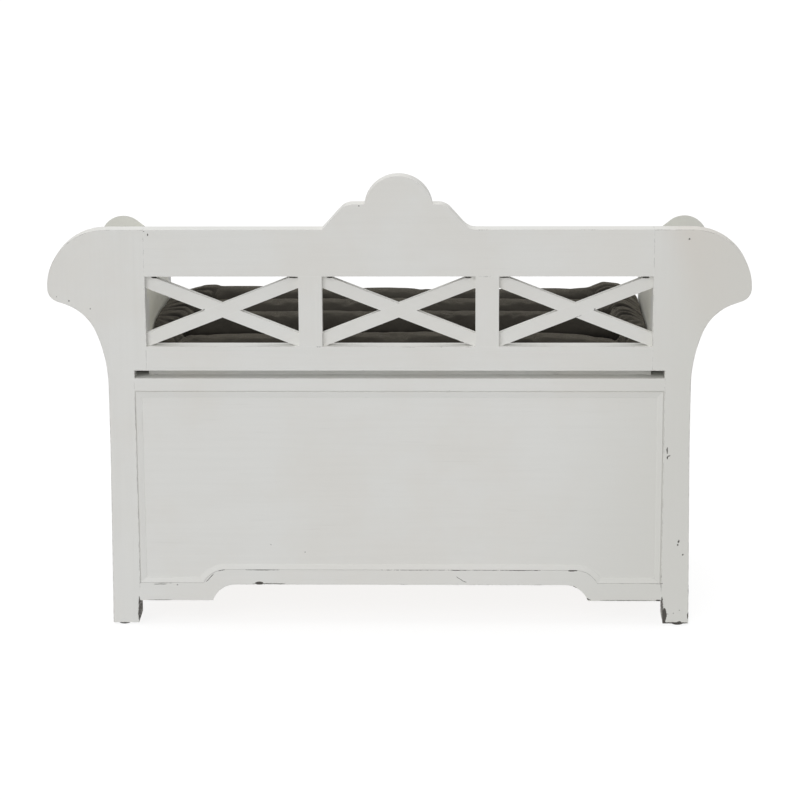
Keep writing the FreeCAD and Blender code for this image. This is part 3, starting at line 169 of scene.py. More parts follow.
class Shader:
    """A material whose nodes are added one by one."""

    def __init__(self, name):
        self.material = bpy.data.materials.new(name)
        self.material.use_nodes = True
        self.tree = self.material.node_tree
        self.surface = self.tree.nodes["Principled BSDF"]
        self.place = self.tree.nodes.new("ShaderNodeTexCoord").outputs["Object"]

    def put(self, socket, value):
        if isinstance(value, bpy.types.NodeSocket):
            self.tree.links.new(value, socket)
        else:
            socket.default_value = value

    def node(self, kind, inputs=(), output=0, **settings):
        node = self.tree.nodes.new("ShaderNode" + kind)
        for name, value in settings.items():
            setattr(node, name, value)
        for name, value in dict(inputs).items():
            self.put(node.inputs[name], value)
        return node.outputs[output]

    def math(self, operation, first, second=0.0, clamp=False):
        inputs = {0: first, 1: second}
        return self.node("Math", inputs, operation=operation, use_clamp=clamp)

    def vector(self, operation, first, second, output=0):
        inputs = {0: first, 1: second}
        return self.node("VectorMath", inputs, output, operation=operation)

    def stretched(self, scale, turn=(0, 0, 0)):
        """Object coordinates turned, then scaled."""
        place = self.place
        if any(turn):
            place = self.node("Mapping", {"Vector": place, "Rotation": turn})
        return self.vector("MULTIPLY", place, scale)

    def noise(self, place, scale=1.0, detail=2.0, rough=0.5, bend=0.0):
        inputs = {"Vector": place, "Scale": scale, "Detail": detail, "Roughness": rough, "Distortion": bend}
        return self.node("TexNoise", inputs)

    def steps(self, value, low, high, bottom=0.0, top=1.0):
        """Smooth step of a value from low to high."""
        inputs = {"Value": value, "From Min": low, "From Max": high, "To Min": bottom, "To Max": top}
        return self.node("MapRange", inputs, interpolation_type="SMOOTHSTEP")

    def mix(self, share, first, second):
        """Two colours mixed by a share."""
        node = self.tree.nodes.new("ShaderNodeMix")
        node.data_type = "RGBA"
        self.put(node.inputs["Factor"], share)
        self.put(node.inputs["A"], first if isinstance(first, bpy.types.NodeSocket) else (*first, 1))
        self.put(node.inputs["B"], second if isinstance(second, bpy.types.NodeSocket) else (*second, 1))
        return node.outputs["Result"]

    def bump(self, height, distance, strength=1.0, under=None):
        inputs = {"Height": height, "Distance": distance, "Strength": strength}
        if under is not None:
            inputs["Normal"] = under
        return self.node("Bump", inputs)

    def finish(self, **sockets):
        names = {"colour": "Base Color", "rough": "Roughness", "metal": "Metallic", "normal": "Normal",
                 "gloss": "Specular IOR Level", "sheen": "Sheen Weight", "sheen_rough": "Sheen Roughness"}
        for name, value in sockets.items():
            if name in ("colour", "sheen_tint") and not isinstance(value, bpy.types.NodeSocket):
                value = (*value, 1)
            socket = "Sheen Tint" if name == "sheen_tint" else names[name]
            self.put(self.surface.inputs[socket], value)
        return self.material


def edge_mask(shader, radius):
    """Where a surface turns within a radius: 0 on a flat face, towards 1 on an edge."""
    rounded = shader.node("Bevel", {"Radius": radius}, samples=6)
    sharp = shader.node("NewGeometry", output="Normal")
    cosine = shader.vector("DOT_PRODUCT", rounded, sharp, "Value")
    return shader.math("SUBTRACT", 1.0, cosine, clamp=True)


def chips(shader, places, reach):
    """Mask of listed chipped spots and painted shade marks, with ragged rims."""
    ragged = shader.node("TexNoise", {"Vector": shader.place, "Scale": 260.0, "Detail": 4.0}, "Color")
    shift = shader.vector("SUBTRACT", ragged, (0.5, 0.5, 0.5))
    shift = shader.vector("MULTIPLY", shift, (0.0040, 0.0, 0.0016))
    place = shader.vector("ADD", shader.place, shift)
    total = None
    for x, z, wide, high, *slope in places:
        slope = math.radians(slope[0]) if slope else 0
        local = shader.vector("SUBTRACT", place, (x, BACK_FACE, z))
        along = (math.cos(slope) / wide, 0, math.sin(slope) / wide)
        across = (-math.sin(slope) / high, 0, math.cos(slope) / high)
        u = shader.vector("DOT_PRODUCT", local, along, "Value")
        v = shader.vector("DOT_PRODUCT", local, across, "Value")
        deep = shader.vector("DOT_PRODUCT", local, (0, 1 / reach, 0), "Value")
        span = shader.node("CombineXYZ", {0: u, 1: deep, 2: v})
        span = shader.node("VectorMath", {0: span}, "Value", operation="LENGTH")
        inside = shader.math("LESS_THAN", span, 1.0)
        total = inside if total is None else shader.math("MAXIMUM", total, inside)
    return total


def painted(name, along="X", turn=0.0, shallow=(), deep=(), tones=(PAINT, PAINT_WARM), ear=None, rim=0.0,
            chipping=0.7):
    """Brushed paint on wood, with the brush drawn along one axis and chipped paint at the edges; also a
    painted highlight along the edges, and painted shade towards one side and at listed places.
    """
    shader = Shader(name)
    axis = "XYZ".index(along)
    turned = (0, turn, 0)

    def strokes(across, length):
        return shader.stretched([length if i == axis else across for i in range(3)], turned)

    cloudy = shader.noise(shader.place, 6.0, 4.0, 0.6)
    streaks = shader.noise(strokes(130, 5), 1.0, 3.0, 0.6)
    bristles = shader.noise(strokes(900, 22), 1.0, 2.0, 0.6)
    grain = shader.noise(strokes(240, 9), 1.0, 5.0, 0.65, 0.4)
    pores = shader.steps(grain, 0.60, 0.72)

    tone = shader.mix(shader.steps(cloudy, 0.35, 0.68), *tones)
    # Painted shade: the outer ear darker and warmer
    if ear:
        outer = shader.vector("DOT_PRODUCT", shader.place, (-1, 0, 0.3), "Value")
        tone = shader.mix(shader.steps(outer, 0.64, 0.71), tone, ear)
    tone = shader.mix(shader.steps(streaks, 0.35, 0.75, 0, 0.10), tone, (0.68, 0.68, 0.65))
    tone = shader.mix(shader.math("MULTIPLY", pores, 0.06), tone, UNDERCOAT)
    # Painted shade: the paint darker and a little warmer towards one side, where less light falls
    across = shader.vector("DOT_PRODUCT", shader.place, (-1, 0, -0.35), "Value")
    tone = shader.mix(shader.steps(across, 0.10, 0.40, 0, 0.8), tone, SIDE_SHADE_TONE)

    edge = edge_mask(shader, 0.0028)
    patches = shader.noise(shader.place, 17.0, 5.0, 0.62)
    patches = shader.steps(patches, 0.60, 0.68)
    ragged = shader.noise(shader.place, 330.0, 4.0, 0.7)
    level = shader.math("MULTIPLY", edge, shader.steps(ragged, 0.36, 0.62, 0.3, 1.7))
    worn_and_shaded = shader.math("MULTIPLY", shader.steps(level, 0.10, 0.20), patches)
    worn_and_shaded = shader.math("MULTIPLY", worn_and_shaded, chipping)
    if rim:
        # A narrow dark line, broken here and there, just inside the outline
        rising = shader.steps(edge, 0.015, 0.05)
        falling = shader.steps(edge, 0.09, 0.16, 1, 0)
        broken = shader.steps(shader.noise(shader.place, 70.0, 4.0, 0.7), 0.42, 0.60)
        line = shader.math("MULTIPLY", shader.math("MULTIPLY", rising, falling), broken)
        worn_and_shaded = shader.math("MAXIMUM", worn_and_shaded, shader.math("MULTIPLY", line, rim))
    # Painted highlight: edges a little lighter, as where they catch the light
    edge_highlight_share = shader.math("MULTIPLY", shader.steps(edge, 0.02, 0.2), 0.22)
    # Listed chipped spots of worn paint, and listed marks of painted shade that reach along the faces behind
    for places, reach in ((shallow, SHALLOW_REACH), (deep, DEEP_REACH)):
        if places:
            bare = shader.math("MULTIPLY", chips(shader, places, reach), CHIP_AND_SHADE_STRENGTH)
            worn_and_shaded = shader.math("MAXIMUM", worn_and_shaded, bare)
    tone = shader.mix(edge_highlight_share, tone, EDGE_HIGHLIGHT)
    tone = shader.mix(worn_and_shaded, tone, BARED_AND_SHADED)

    coarse = shader.math("MULTIPLY", streaks, 0.9)
    fine = shader.math("MULTIPLY", bristles, 0.35)
    height = shader.math("SUBTRACT", shader.math("ADD", coarse, fine), shader.math("MULTIPLY", worn_and_shaded, 1.6))
    normal = shader.bump(height, 0.0003, 0.22)
    rough = shader.steps(streaks, 0.3, 0.8, 0.42, 0.55)
    rough = shader.math("ADD", rough, shader.math("MULTIPLY", worn_and_shaded, 0.3), clamp=True)
    return shader.finish(colour=tone, rough=rough, normal=normal, gloss=0.42)


def bare_wood(name, along="X"):
    """Unpainted plantation wood: wide rings, fine fibre, a few dark pores."""
    shader = Shader(name)
    axis = "XYZ".index(along)
    place = shader.stretched([1.2 if i == axis else 16 for i in range(3)])
    bent = shader.noise(place, 0.8, 2.0, 0.5, 0.6)
    rings = shader.math("FRACT", shader.math("MULTIPLY", bent, 13.0))
    rings = shader.math("PINGPONG", rings, 0.5)
    fibre = shader.noise(shader.stretched([18 if i == axis else 900 for i in range(3)]), 1.0, 3.0, 0.6)
    pores = shader.noise(shader.stretched([60 if i == axis else 1500 for i in range(3)]), 1.0, 2.0, 0.5)
    tone = shader.mix(shader.steps(rings, 0.0, 0.5), (0.43, 0.27, 0.14), (0.60, 0.42, 0.24))
    tone = shader.mix(shader.steps(fibre, 0.35, 0.7, 0, 0.45), tone, (0.36, 0.22, 0.11))
    tone = shader.mix(shader.steps(pores, 0.66, 0.74, 0, 0.6), tone, (0.16, 0.09, 0.05))
    height = shader.math("ADD", fibre, shader.math("MULTIPLY", rings, 0.5))
    normal = shader.bump(height, 0.0004, 0.4)
    rough = shader.steps(fibre, 0.3, 0.7, 0.55, 0.75)
    return shader.finish(colour=tone, rough=rough, normal=normal, gloss=0.35)


def metal(name, bright, dull, rough, tarnish):
    """Brushed metal with stains and small scratches."""
    shader = Shader(name)
    stains = shader.noise(shader.place, 60.0, 5.0, 0.6)
    scratches = shader.noise(shader.stretched((90, 1400, 1400)), 1.0, 2.0, 0.6)
    tone = shader.mix(shader.steps(stains, 0.45, 0.7, 0, tarnish), bright, dull)
    finish = shader.steps(stains, 0.35, 0.75, rough, rough + 0.22)
    finish = shader.math("ADD", finish, shader.steps(scratches, 0.5, 0.8, 0, 0.12))
    normal = shader.bump(scratches, 0.0002, 0.3)
    return shader.finish(colour=tone, metal=1.0, rough=finish, normal=normal)


def moulded_plastic(name):
    """Dark moulded plastic, scuffed."""
    shader = Shader(name)
    pebble = shader.noise(shader.place, 1800.0, 2.0, 0.5)
    scuffs = shader.noise(shader.stretched((70, 500, 70)), 1.0, 4.0, 0.65)
    tone = shader.mix(shader.steps(scuffs, 0.55, 0.75, 0, 0.5), (0.018, 0.016, 0.014), (0.07, 0.065, 0.06))
    rough = shader.steps(scuffs, 0.4, 0.8, 0.42, 0.68)
    return shader.finish(colour=tone, rough=rough, normal=shader.bump(pebble, 0.0002, 0.35))


def cushion_cloth(name):
    """Dark brushed cotton: fine crossed weave, a short nap and cloudy colour."""
    shader = Shader(name)
    pitch = 2 * math.pi / 0.0011
    waves = []
    for axis in range(3):
        direction = [pitch if i == axis else 0 for i in range(3)]
        phase = shader.vector("DOT_PRODUCT", shader.place, direction, "Value")
        waves.append(shader.math("SINE", phase))
    weave = shader.math("ADD", shader.math("ADD", waves[0], waves[1]), waves[2])
    nap = shader.noise(shader.place, 1500.0, 3.0, 0.7)
    cloudy = shader.noise(shader.place, 26.0, 4.0, 0.6)
    slub = shader.noise(shader.stretched((30, 900, 900)), 1.0, 2.0, 0.5)
    tone = shader.mix(shader.steps(cloudy, 0.3, 0.72), (0.021, 0.0185, 0.0145), (0.032, 0.0285, 0.0225))
    tone = shader.mix(shader.steps(nap, 0.35, 0.75, 0, 0.5), tone, (0.047, 0.042, 0.033))
    tone = shader.mix(shader.steps(slub, 0.6, 0.8, 0, 0.35), tone, (0.012, 0.0105, 0.008))
    # Painted shade: darker in the folds and seams, and in a line along both ends where the cushion meets the
    # arms
    fold_shade = shader.node("Attribute", output="Fac", attribute_name="fold_shade")
    tone = shader.mix(shader.math("MULTIPLY", fold_shade, 0.92), tone, (0.003, 0.0025, 0.002))
    normal = shader.bump(nap, 0.0006, 0.35)
    normal = shader.bump(weave, 0.00012, 0.5, normal)
    return shader.finish(colour=tone, rough=0.92, normal=normal, gloss=0.2,
                         sheen=0.32, sheen_rough=0.35, sheen_tint=(0.95, 0.87, 0.70))


def longest_axis(node):
    low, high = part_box(node)
    size = high - low
    return "XYZ"[max(range(3), key=lambda i: size[i])]


def wear(obj, material):
    obj.data.materials.clear()
    obj.data.materials.append(material)


def round_edges(obj, width):
    """Softens the edges of a solid, as sanding and paint do."""
    bevel = obj.modifiers.new("soft_edges", "BEVEL")
    bevel.width = width
    bevel.segments = 2
    bevel.limit_method = "ANGLE"
    bevel.angle_limit = math.radians(30)
    bevel.use_clamp_overlap = True
    bevel.harden_normals = True


EDGE_ROUND = 0.0008
BARE_NODES = ("chest_floor", "floor_cleats", "corner_blocks",
              "lid_batten_left", "lid_batten_right")
BRASS_NODES = ("hinge_leaves_rail", "hinge_leaves_lid", "hinge_pins")
STEEL_NODES = ("batten_screws", "hinge_screws_lid", "hinge_screws_rail")
MARKED_NODES = {
    "chest_back_apron": APRON_WEAR,
    "back_stile_left": EVEN_STILE_WEAR,
    "back_stile_right": SPLIT_STILE_WEAR,
    "back_top_rail": RAIL_WEAR,
    "chest_back_panel": PANEL_WEAR,
    "rear_post_left": (),
    "rear_post_right": (),
}


def bar_turn(node):
    """Slope of a crossed bar, from its own longest run."""
    low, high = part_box(node)
    slope = math.atan2(high.z - low.z, high.x - low.x)
    points = [v.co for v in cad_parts[node].data.vertices]
    right_end = [p for p in points if p.x > (low.x + high.x) / 2]
    level = sum(p.z for p in right_end) / len(right_end)
    return slope if level < (low.z + high.z) / 2 else -slope


def dress_nodes():
    shared = {axis: painted("paint_" + axis.lower(), axis) for axis in "XYZ"}
    lightened_cream = {axis: painted("cream_" + axis.lower(), axis, tones=ARM_TONES_LIGHTENED) for axis in "XYZ"}
    beads = {axis: painted("bead_" + axis.lower(), axis, chipping=0.15) for axis in "XZ"}
    bare = {axis: bare_wood("bare_wood_" + axis.lower(), axis) for axis in "XYZ"}
    brass = metal("brass", (0.71, 0.50, 0.24), (0.33, 0.22, 0.11), 0.28, 0.8)
    steel = metal("zinc_steel", (0.62, 0.62, 0.60), (0.35, 0.34, 0.32), 0.3, 0.5)
    plastic = moulded_plastic("glide_plastic")
    for name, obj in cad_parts.items():
        if name == "seat_cushion":
            continue
        axis = longest_axis(name)
        if name in BARE_NODES:
            wear(obj, bare[axis])
        elif name in BRASS_NODES:
            wear(obj, brass)
        elif name in STEEL_NODES:
            wear(obj, steel)
        elif name == "foot_glides":
            wear(obj, plastic)
        elif name in MARKED_NODES:
            ear = EAR_SHADE_TONE if name == "back_stile_left" else None
            rim = STILE_RIM if "stile" in name else 0.0
            # Painted shade on the inner faces of the feet, reaching along them
            deep = FOOT_SHADE if "stile" in name or "post" in name else ()
            wear(obj, painted("paint_" + name, axis, shallow=MARKED_NODES[name], deep=deep, ear=ear, rim=rim))
        elif name.startswith("lattice"):
            # Painted shadow where the crossed bars meet the frame
            wear(obj, painted("paint_" + name, "X", turn=bar_turn(name), deep=BAR_JOINTS))
        # Arms in cream, lightened: painted light
        elif name.startswith("arm_"):
            wear(obj, lightened_cream[axis])
        elif "bead" in name:
            wear(obj, beads[axis])
        # Front posts in darker tones: painted shade
        elif name in SHADED_POST_TONES:
            wear(obj, painted("paint_" + name, axis, tones=SHADED_POST_TONES[name]))
        else:
            wear(obj, shared[axis])


def dress_edges():
    for name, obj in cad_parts.items():
        small = name in BRASS_NODES + STEEL_NODES or "bead" in name
        if name == "seat_cushion" or small:
            continue
        round_edges(obj, EDGE_ROUND)


# Cushion


# Where the long rolls end and the cross rolls begin, at the middle; further out towards the back
ROLL_END = 0.371
ROLL_END_SLANT = 0.16
ROLL_COUNT = 4
ROLL_CRESTS = (0.0476, 0.0480, 0.0460, 0.0292)
CHANNEL_DEPTH = 0.0175
# Lift of the front roll's crest along the bench
FRONT_CREST = ((-0.34, 0.0035), (-0.295, -0.0010), (-0.245, -0.0015), (0.0, 0.0),
               (0.20, 0.0012), (0.28, 0.0038), (0.34, 0.0045))
# Crest of the cross rolls at positive and negative x: places along the end, shares across it, heights
END_PLACES = (-0.19, -0.08, 0.01, 0.08, 0.115, 0.134)
END_SHARES = (0, 0.3, 0.6, 0.85, 1)
END_CRESTS = (
    ((0.0535, 0.0515, 0.0430, 0.0390, 0.0300),
     (0.0480, 0.0490, 0.0465, 0.0440, 0.0420),
     (0.0440, 0.0465, 0.0475, 0.0500, 0.0520),
     (0.0320, 0.0350, 0.0410, 0.0510, 0.0570),
     (0.0270, 0.0290, 0.0350, 0.0465, 0.0540),
     (0.0245, 0.0250, 0.0280, 0.0320, 0.0345)),
    ((0.0510, 0.0585, 0.0540, 0.0410, 0.0290),
     (0.0490, 0.0520, 0.0480, 0.0390, 0.0330),
     (0.0440, 0.0475, 0.0450, 0.0400, 0.0385),
     (0.0320, 0.0350, 0.0350, 0.0390, 0.0430),
     (0.0260, 0.0250, 0.0280, 0.0365, 0.0430),
     (0.0230, 0.0220, 0.0250, 0.0290, 0.0330)),
)
# Creases across an end: place along it, bulge to the front, depth, width.
# The painted crease shade is full at this depth
FULL_FOLD_SHADE = 0.0042
CREASES = ((-0.155, 0.010, 0.0024, 0.0044), (-0.128, 0.022, 0.0034, 0.0038), (-0.088, 0.030, 0.0024, 0.0038),
           (-0.052, 0.038, 0.0032, 0.0036), (-0.002, 0.042, 0.0050, 0.0034), (0.026, 0.036, 0.0028, 0.0034),
           (0.052, 0.036, 0.0048, 0.0034), (0.088, 0.028, 0.0034, 0.0036), (0.122, 0.018, 0.0032, 0.0040))
CORNER_ROUND = 0.026
SIDE_ROUND = 0.030
END_ROUND = 0.003
UNDER_ROUND = 0.013
SEAM_LEVEL = 0.45
INSET = 0.0025
END_REACH = 0.0024
ROW_STEPS = 30
# Beyond this place the columns of the grid lie closer
FINE_END = 0.335
# Most that the simulation may move a point, and how far the ends may reach past the solid
FILL_CAP = 0.0022
END_PRESS = 0.0026
FILL_FRAMES = 20
STITCH_PITCH = 0.0075


def smooth(value, low, high):
    share = np.clip((value - low) / (high - low), 0, 1)
    return share * share * (3 - 2 * share)


def ripples(rng, place, lengths, count=6):
    """Sum of a few waves of random length and phase, between about -1 and 1."""
    total = np.zeros_like(place)
    for _ in range(count):
        length = rng.uniform(*lengths)
        total += np.sin(2 * np.pi * place / length + rng.uniform(0, 2 * np.pi))
    return total / count ** 0.5


class Pad:
    """Plan and height of the cushion, from the box of its solid."""

    def __init__(self):
        self.half = CUSHION_HIGH.x + END_REACH
        self.front = CUSHION_LOW.y + INSET
        self.rear = CUSHION_HIGH.y - INSET
        self.base = CUSHION_LOW.z
        self.roll = (self.rear - self.front) / ROLL_COUNT
        self.middle = (self.rear + self.front) / 2
        self.channels = [self.front + self.roll * n for n in range(1, ROLL_COUNT)]
        self.rng = np.random.RandomState(7)

    def joint(self, y):
        """Where the long rolls meet the cross rolls."""
        return ROLL_END + ROLL_END_SLANT * (y - 0.005)

    def inside(self, x, y):
        """Distance in from the rounded outline."""
        half_y = (self.rear - self.front) / 2
        dx = np.abs(x) - (self.half - CORNER_ROUND)
        dy = np.abs(y - self.middle) - (half_y - CORNER_ROUND)
        outer = np.hypot(np.maximum(dx, 0), np.maximum(dy, 0))
        return CORNER_ROUND - outer - np.minimum(np.maximum(dx, dy), 0)

    def rolls(self, x, y):
        """Height of the long rolls, with puckers along the sewn channels."""
        place = np.clip((y - self.front) / self.roll, 0, ROLL_COUNT - 1e-6)
        number = np.floor(place).astype(int)
        local = (place - number) * 2 - 1
        outward = ((number == 0) & (local < 0)) | ((number == ROLL_COUNT - 1) & (local > 0))
        crest = np.array(ROLL_CRESTS)[number]
        span = x / 0.345
        front = np.interp(x, *zip(*FRONT_CREST))
        rear = np.where(x > 0, -0.0052 * span ** 2, -0.0095 * span ** 6)
        other = -0.002 * span ** 2
        crest = crest + np.where(number == 0, front, np.where(number == ROLL_COUNT - 1, rear, other))
        level = np.array(ROLL_CRESTS)
        valley = np.minimum(level[:-1], level[1:]) - CHANNEL_DEPTH
        side = np.clip(np.where(local > 0, number, number - 1), 0, ROLL_COUNT - 2)
        low = valley[side] - 0.004 * span ** 2
        arch = (1 - np.abs(local) ** 2.3) ** 0.58
        height = low + (crest - low) * np.where(outward, 1 - 0.25 * local ** 2, arch)
        for channel in self.channels:
            for way in (-1, 1):
                wave = ripples(self.rng, x, (0.018, 0.05))
                away = (y - channel) * way
                beside = np.exp(-(away - 0.011) ** 2 / 0.010 ** 2) * (away > 0)
                height = height + 0.0006 * wave * beside
        return height + 0.0004 * ripples(self.rng, x + 0.3 * y, (0.12, 0.3), 3)

    def crease_line(self, number, x, share):
        """Where a crease runs, at each share of the way across an end."""
        place, bulge = CREASES[number][:2]
        moved = place + 0.006 * math.sin(2.4 * number) * np.where(x > 0, 1, -1)
        return moved - bulge * np.sin(np.pi * share ** 0.9) + 0.012 * share

    def folds(self, x, y):
        """How much painted shade each place gets, deep in the folds and seams and along both ends against the
        arms, from 0 to 1.
        """
        joint = self.joint(y)
        share = np.clip((np.abs(x) - joint) / (self.half - joint), 0, 1)
        at_end = smooth(np.abs(x), joint - 0.004, joint + 0.006)
        over = np.sin(np.pi * np.clip(share * 0.86 + 0.10, 0, 1)) ** 0.7
        fold_shade = np.zeros_like(x)
        for number, (_, _, deep, wide) in enumerate(CREASES):
            off = (y - self.crease_line(number, x, share)) / (wide * 0.75)
            fold_shade = np.maximum(fold_shade, deep / FULL_FOLD_SHADE * over * at_end * np.exp(-off ** 2))
        rear = smooth(y, -0.175, -0.135)
        fold_shade = np.maximum(fold_shade, 0.7 * rear * np.exp(-((np.abs(x) - joint) / 0.0032) ** 2))
        for channel in self.channels:
            fold_shade = np.maximum(fold_shade, (1 - at_end) * np.exp(-((y - channel) / 0.0030) ** 2))
            beyond = np.abs(x) - self.joint(channel)
            fold_shade = np.maximum(fold_shade, np.exp(-(beyond ** 2 + (y - channel) ** 2) / 0.0065 ** 2))
        # Painted shade in a line along both ends, where the cushion meets the arms
        fold_shade = np.maximum(fold_shade, smooth(np.abs(x), self.half - 0.0045, self.half - 0.0015))
        return np.clip(fold_shade, 0, 1)

    def end(self, x, y):
        """Height of the cross roll at an end, with creases that bow over it."""
        joint = self.joint(y)
        share = np.clip((np.abs(x) - joint) / (self.half - joint), 0, 1)
        height = np.zeros_like(x)
        for rows, side in zip(END_CRESTS, (x > 0, x <= 0)):
            across = np.array([np.interp(share, END_SHARES, row) for row in rows])
            place = np.clip(np.interp(y, END_PLACES, range(len(END_PLACES))), 0, len(END_PLACES) - 1)
            low = np.minimum(place.astype(int), len(END_PLACES) - 2)
            part = place - low
            part = part * part * (3 - 2 * part)
            first = np.take_along_axis(across, low[None], 0)[0]
            second = np.take_along_axis(across, low[None] + 1, 0)[0]
            height = np.where(side, first * (1 - part) + second * part, height)
        over = np.sin(np.pi * np.clip(share * 0.86 + 0.10, 0, 1)) ** 0.7
        for number, (_, _, deep, wide) in enumerate(CREASES):
            off = (y - self.crease_line(number, x, share)) / wide
            crease = np.exp(-np.where(off > 0, off * 0.55, off * 1.6) ** 2)
            plump = np.exp(-((off + 1.9) / 1.2) ** 2)
            height = height - deep * over * crease + 0.0012 * over * plump
        return height

    def top(self, x, y):
        joint = self.joint(y)
        blend = smooth(np.abs(x), joint - 0.012, joint + 0.012)
        height = (1 - blend) * self.rolls(x, y) + blend * self.end(x, y)
        groove = 0.0080 * smooth(y, -0.175, -0.135)
        height = height - groove * np.exp(-((np.abs(x) - joint) / 0.0065) ** 2)
        for channel in self.channels:
            beyond = np.abs(x) - self.joint(channel)
            height = height - 0.0150 * np.exp(-(beyond ** 2 + (y - channel) ** 2) / 0.0095 ** 2)
            # Pleats that fan out from the end of each channel
            turn = np.arctan2(y - channel, beyond)
            reach = np.hypot(beyond, y - channel)
            fan = np.cos(11 * turn + channel * 40 + np.where(x > 0, 0.8, 0))
            fan = fan * np.exp(-((reach - 0.018) / 0.011) ** 2)
            height = height + 0.0013 * fan
        seam = self.seam(x, y)
        from_end = np.maximum(self.half - np.abs(x), 0)
        from_side = np.maximum((self.rear - self.front) / 2 - np.abs(y - self.middle), 0)
        soft = END_ROUND + (SIDE_ROUND - END_ROUND) * from_end / (from_end + from_side + 1e-6)
        rise = np.clip(self.inside(x, y) / soft, 0, 1)
        return self.base + seam + (height - seam) * (1 - (1 - rise) ** 2) ** 0.5

    def seam(self, x, y):
        """Level of the seam round the sides, above the base."""
        rear = smooth(y, 0.02, 0.12)
        return SEAM_LEVEL * (0.0485 - 0.013 * rear)

    def under(self, x, y):
        seam = self.seam(x, y)
        rise = np.clip(self.inside(x, y) / UNDER_ROUND, 0, 1)
        return self.base + seam * (1 - (1 - (1 - rise) ** 2) ** 0.5)

    def plan(self):
        """Grid of places whose outline has rounded corners."""
        half_y = (self.rear - self.front) / 2
        inner = self.half - CORNER_ROUND
        rim = self.half - CORNER_ROUND * np.array([0, 0.04, 0.12, 0.25, 0.38, 0.52, 0.68, 0.84])
        end_run = np.linspace(FINE_END, inner, 20)[1:]
        middle_run = np.linspace(-FINE_END, FINE_END, 101)
        across = np.concatenate([-rim, -end_run[::-1], middle_run, end_run, rim[::-1]])
        steps = np.linspace(-1, 1, ROW_STEPS + 1)
        steps = 0.7 * steps + 0.3 * np.sin(steps * np.pi / 2)
        deep = np.concatenate([(self.front + self.roll * (n + 0.5) + steps * self.roll / 2)[:-1]
                               for n in range(ROLL_COUNT)] + [[self.rear]])
        x, y = np.meshgrid(across, deep, indexing="ij")
        p = (np.abs(x) - inner) / CORNER_ROUND
        q = (np.abs(y - self.middle) - (half_y - CORNER_ROUND)) / CORNER_ROUND
        corner = (p > 0) & (q > 0)
        p_round = p * np.sqrt(1 - np.clip(q, 0, 1) ** 2 / 2)
        q_round = q * np.sqrt(1 - np.clip(p, 0, 1) ** 2 / 2)
        x = np.where(corner, np.sign(x) * (inner + p_round * CORNER_ROUND), x)
        reach = half_y - CORNER_ROUND + q_round * CORNER_ROUND
        y = np.where(corner, self.middle + np.sign(y - self.middle) * reach, y)
        return x, y


def pulled(pad, x, y):
    """Front and rear sides drawn in between the corners."""
    near = 1 - smooth(pad.inside(x, y), 0, 0.05)
    waist = np.cos(np.pi * x / (2 * pad.half)) ** 2
    y = y - np.sign(y - pad.middle) * near * 0.0035 * waist * (np.abs(y - pad.middle) > 0.12)
    return x, y


def cushion_mesh(pad):
    """Closed mesh: a top and an underside that share the seam round the sides."""
    x, y = pad.plan()
    columns, rows = x.shape
    top = pad.top(x, y)
    under = pad.under(x, y)
    x_moved, y_moved = pulled(pad, x, y)
    points = np.stack([x_moved, y_moved, top], -1).reshape(-1, 3)
    lower = np.stack([x_moved, y_moved, under], -1).reshape(-1, 3)
    number = np.arange(columns * rows).reshape(columns, rows)
    rim = np.zeros((columns, rows), bool)
    rim[[0, -1], :] = True
    rim[:, [0, -1]] = True
    below = np.where(rim, number, -1)
    below[~rim] = columns * rows + np.arange((~rim).sum())
    vertices = np.concatenate([points, lower[~rim.ravel()]])
    faces = []
    for i in range(columns - 1):
        for j in range(rows - 1):
            faces.append((number[i, j], number[i + 1, j], number[i + 1, j + 1], number[i, j + 1]))
            faces.append((below[i, j], below[i, j + 1], below[i + 1, j + 1], below[i + 1, j]))
    mesh = bpy.data.meshes.new("bench_cushion")
    mesh.from_pydata(vertices.tolist(), [], [tuple(int(v) for v in face) for face in faces])
    mesh.update()
    fold_shade = np.zeros(len(vertices))
    fold_shade[:columns * rows] = pad.folds(x, y).ravel()
    mesh.attributes.new("fold_shade", "FLOAT", "POINT").data.foreach_set("value", fold_shade)
    pinned = set(int(v) for v in number[rim])
    pinned |= set(range(columns * rows, len(vertices)))
    for place in range(1, ROLL_COUNT):
        column = place * ROW_STEPS
        sewn = np.abs(x[:, column]) < pad.joint(y[0, column]) + 0.006
        pinned |= set(int(v) for v in number[sewn, column])
    return mesh, sorted(pinned)


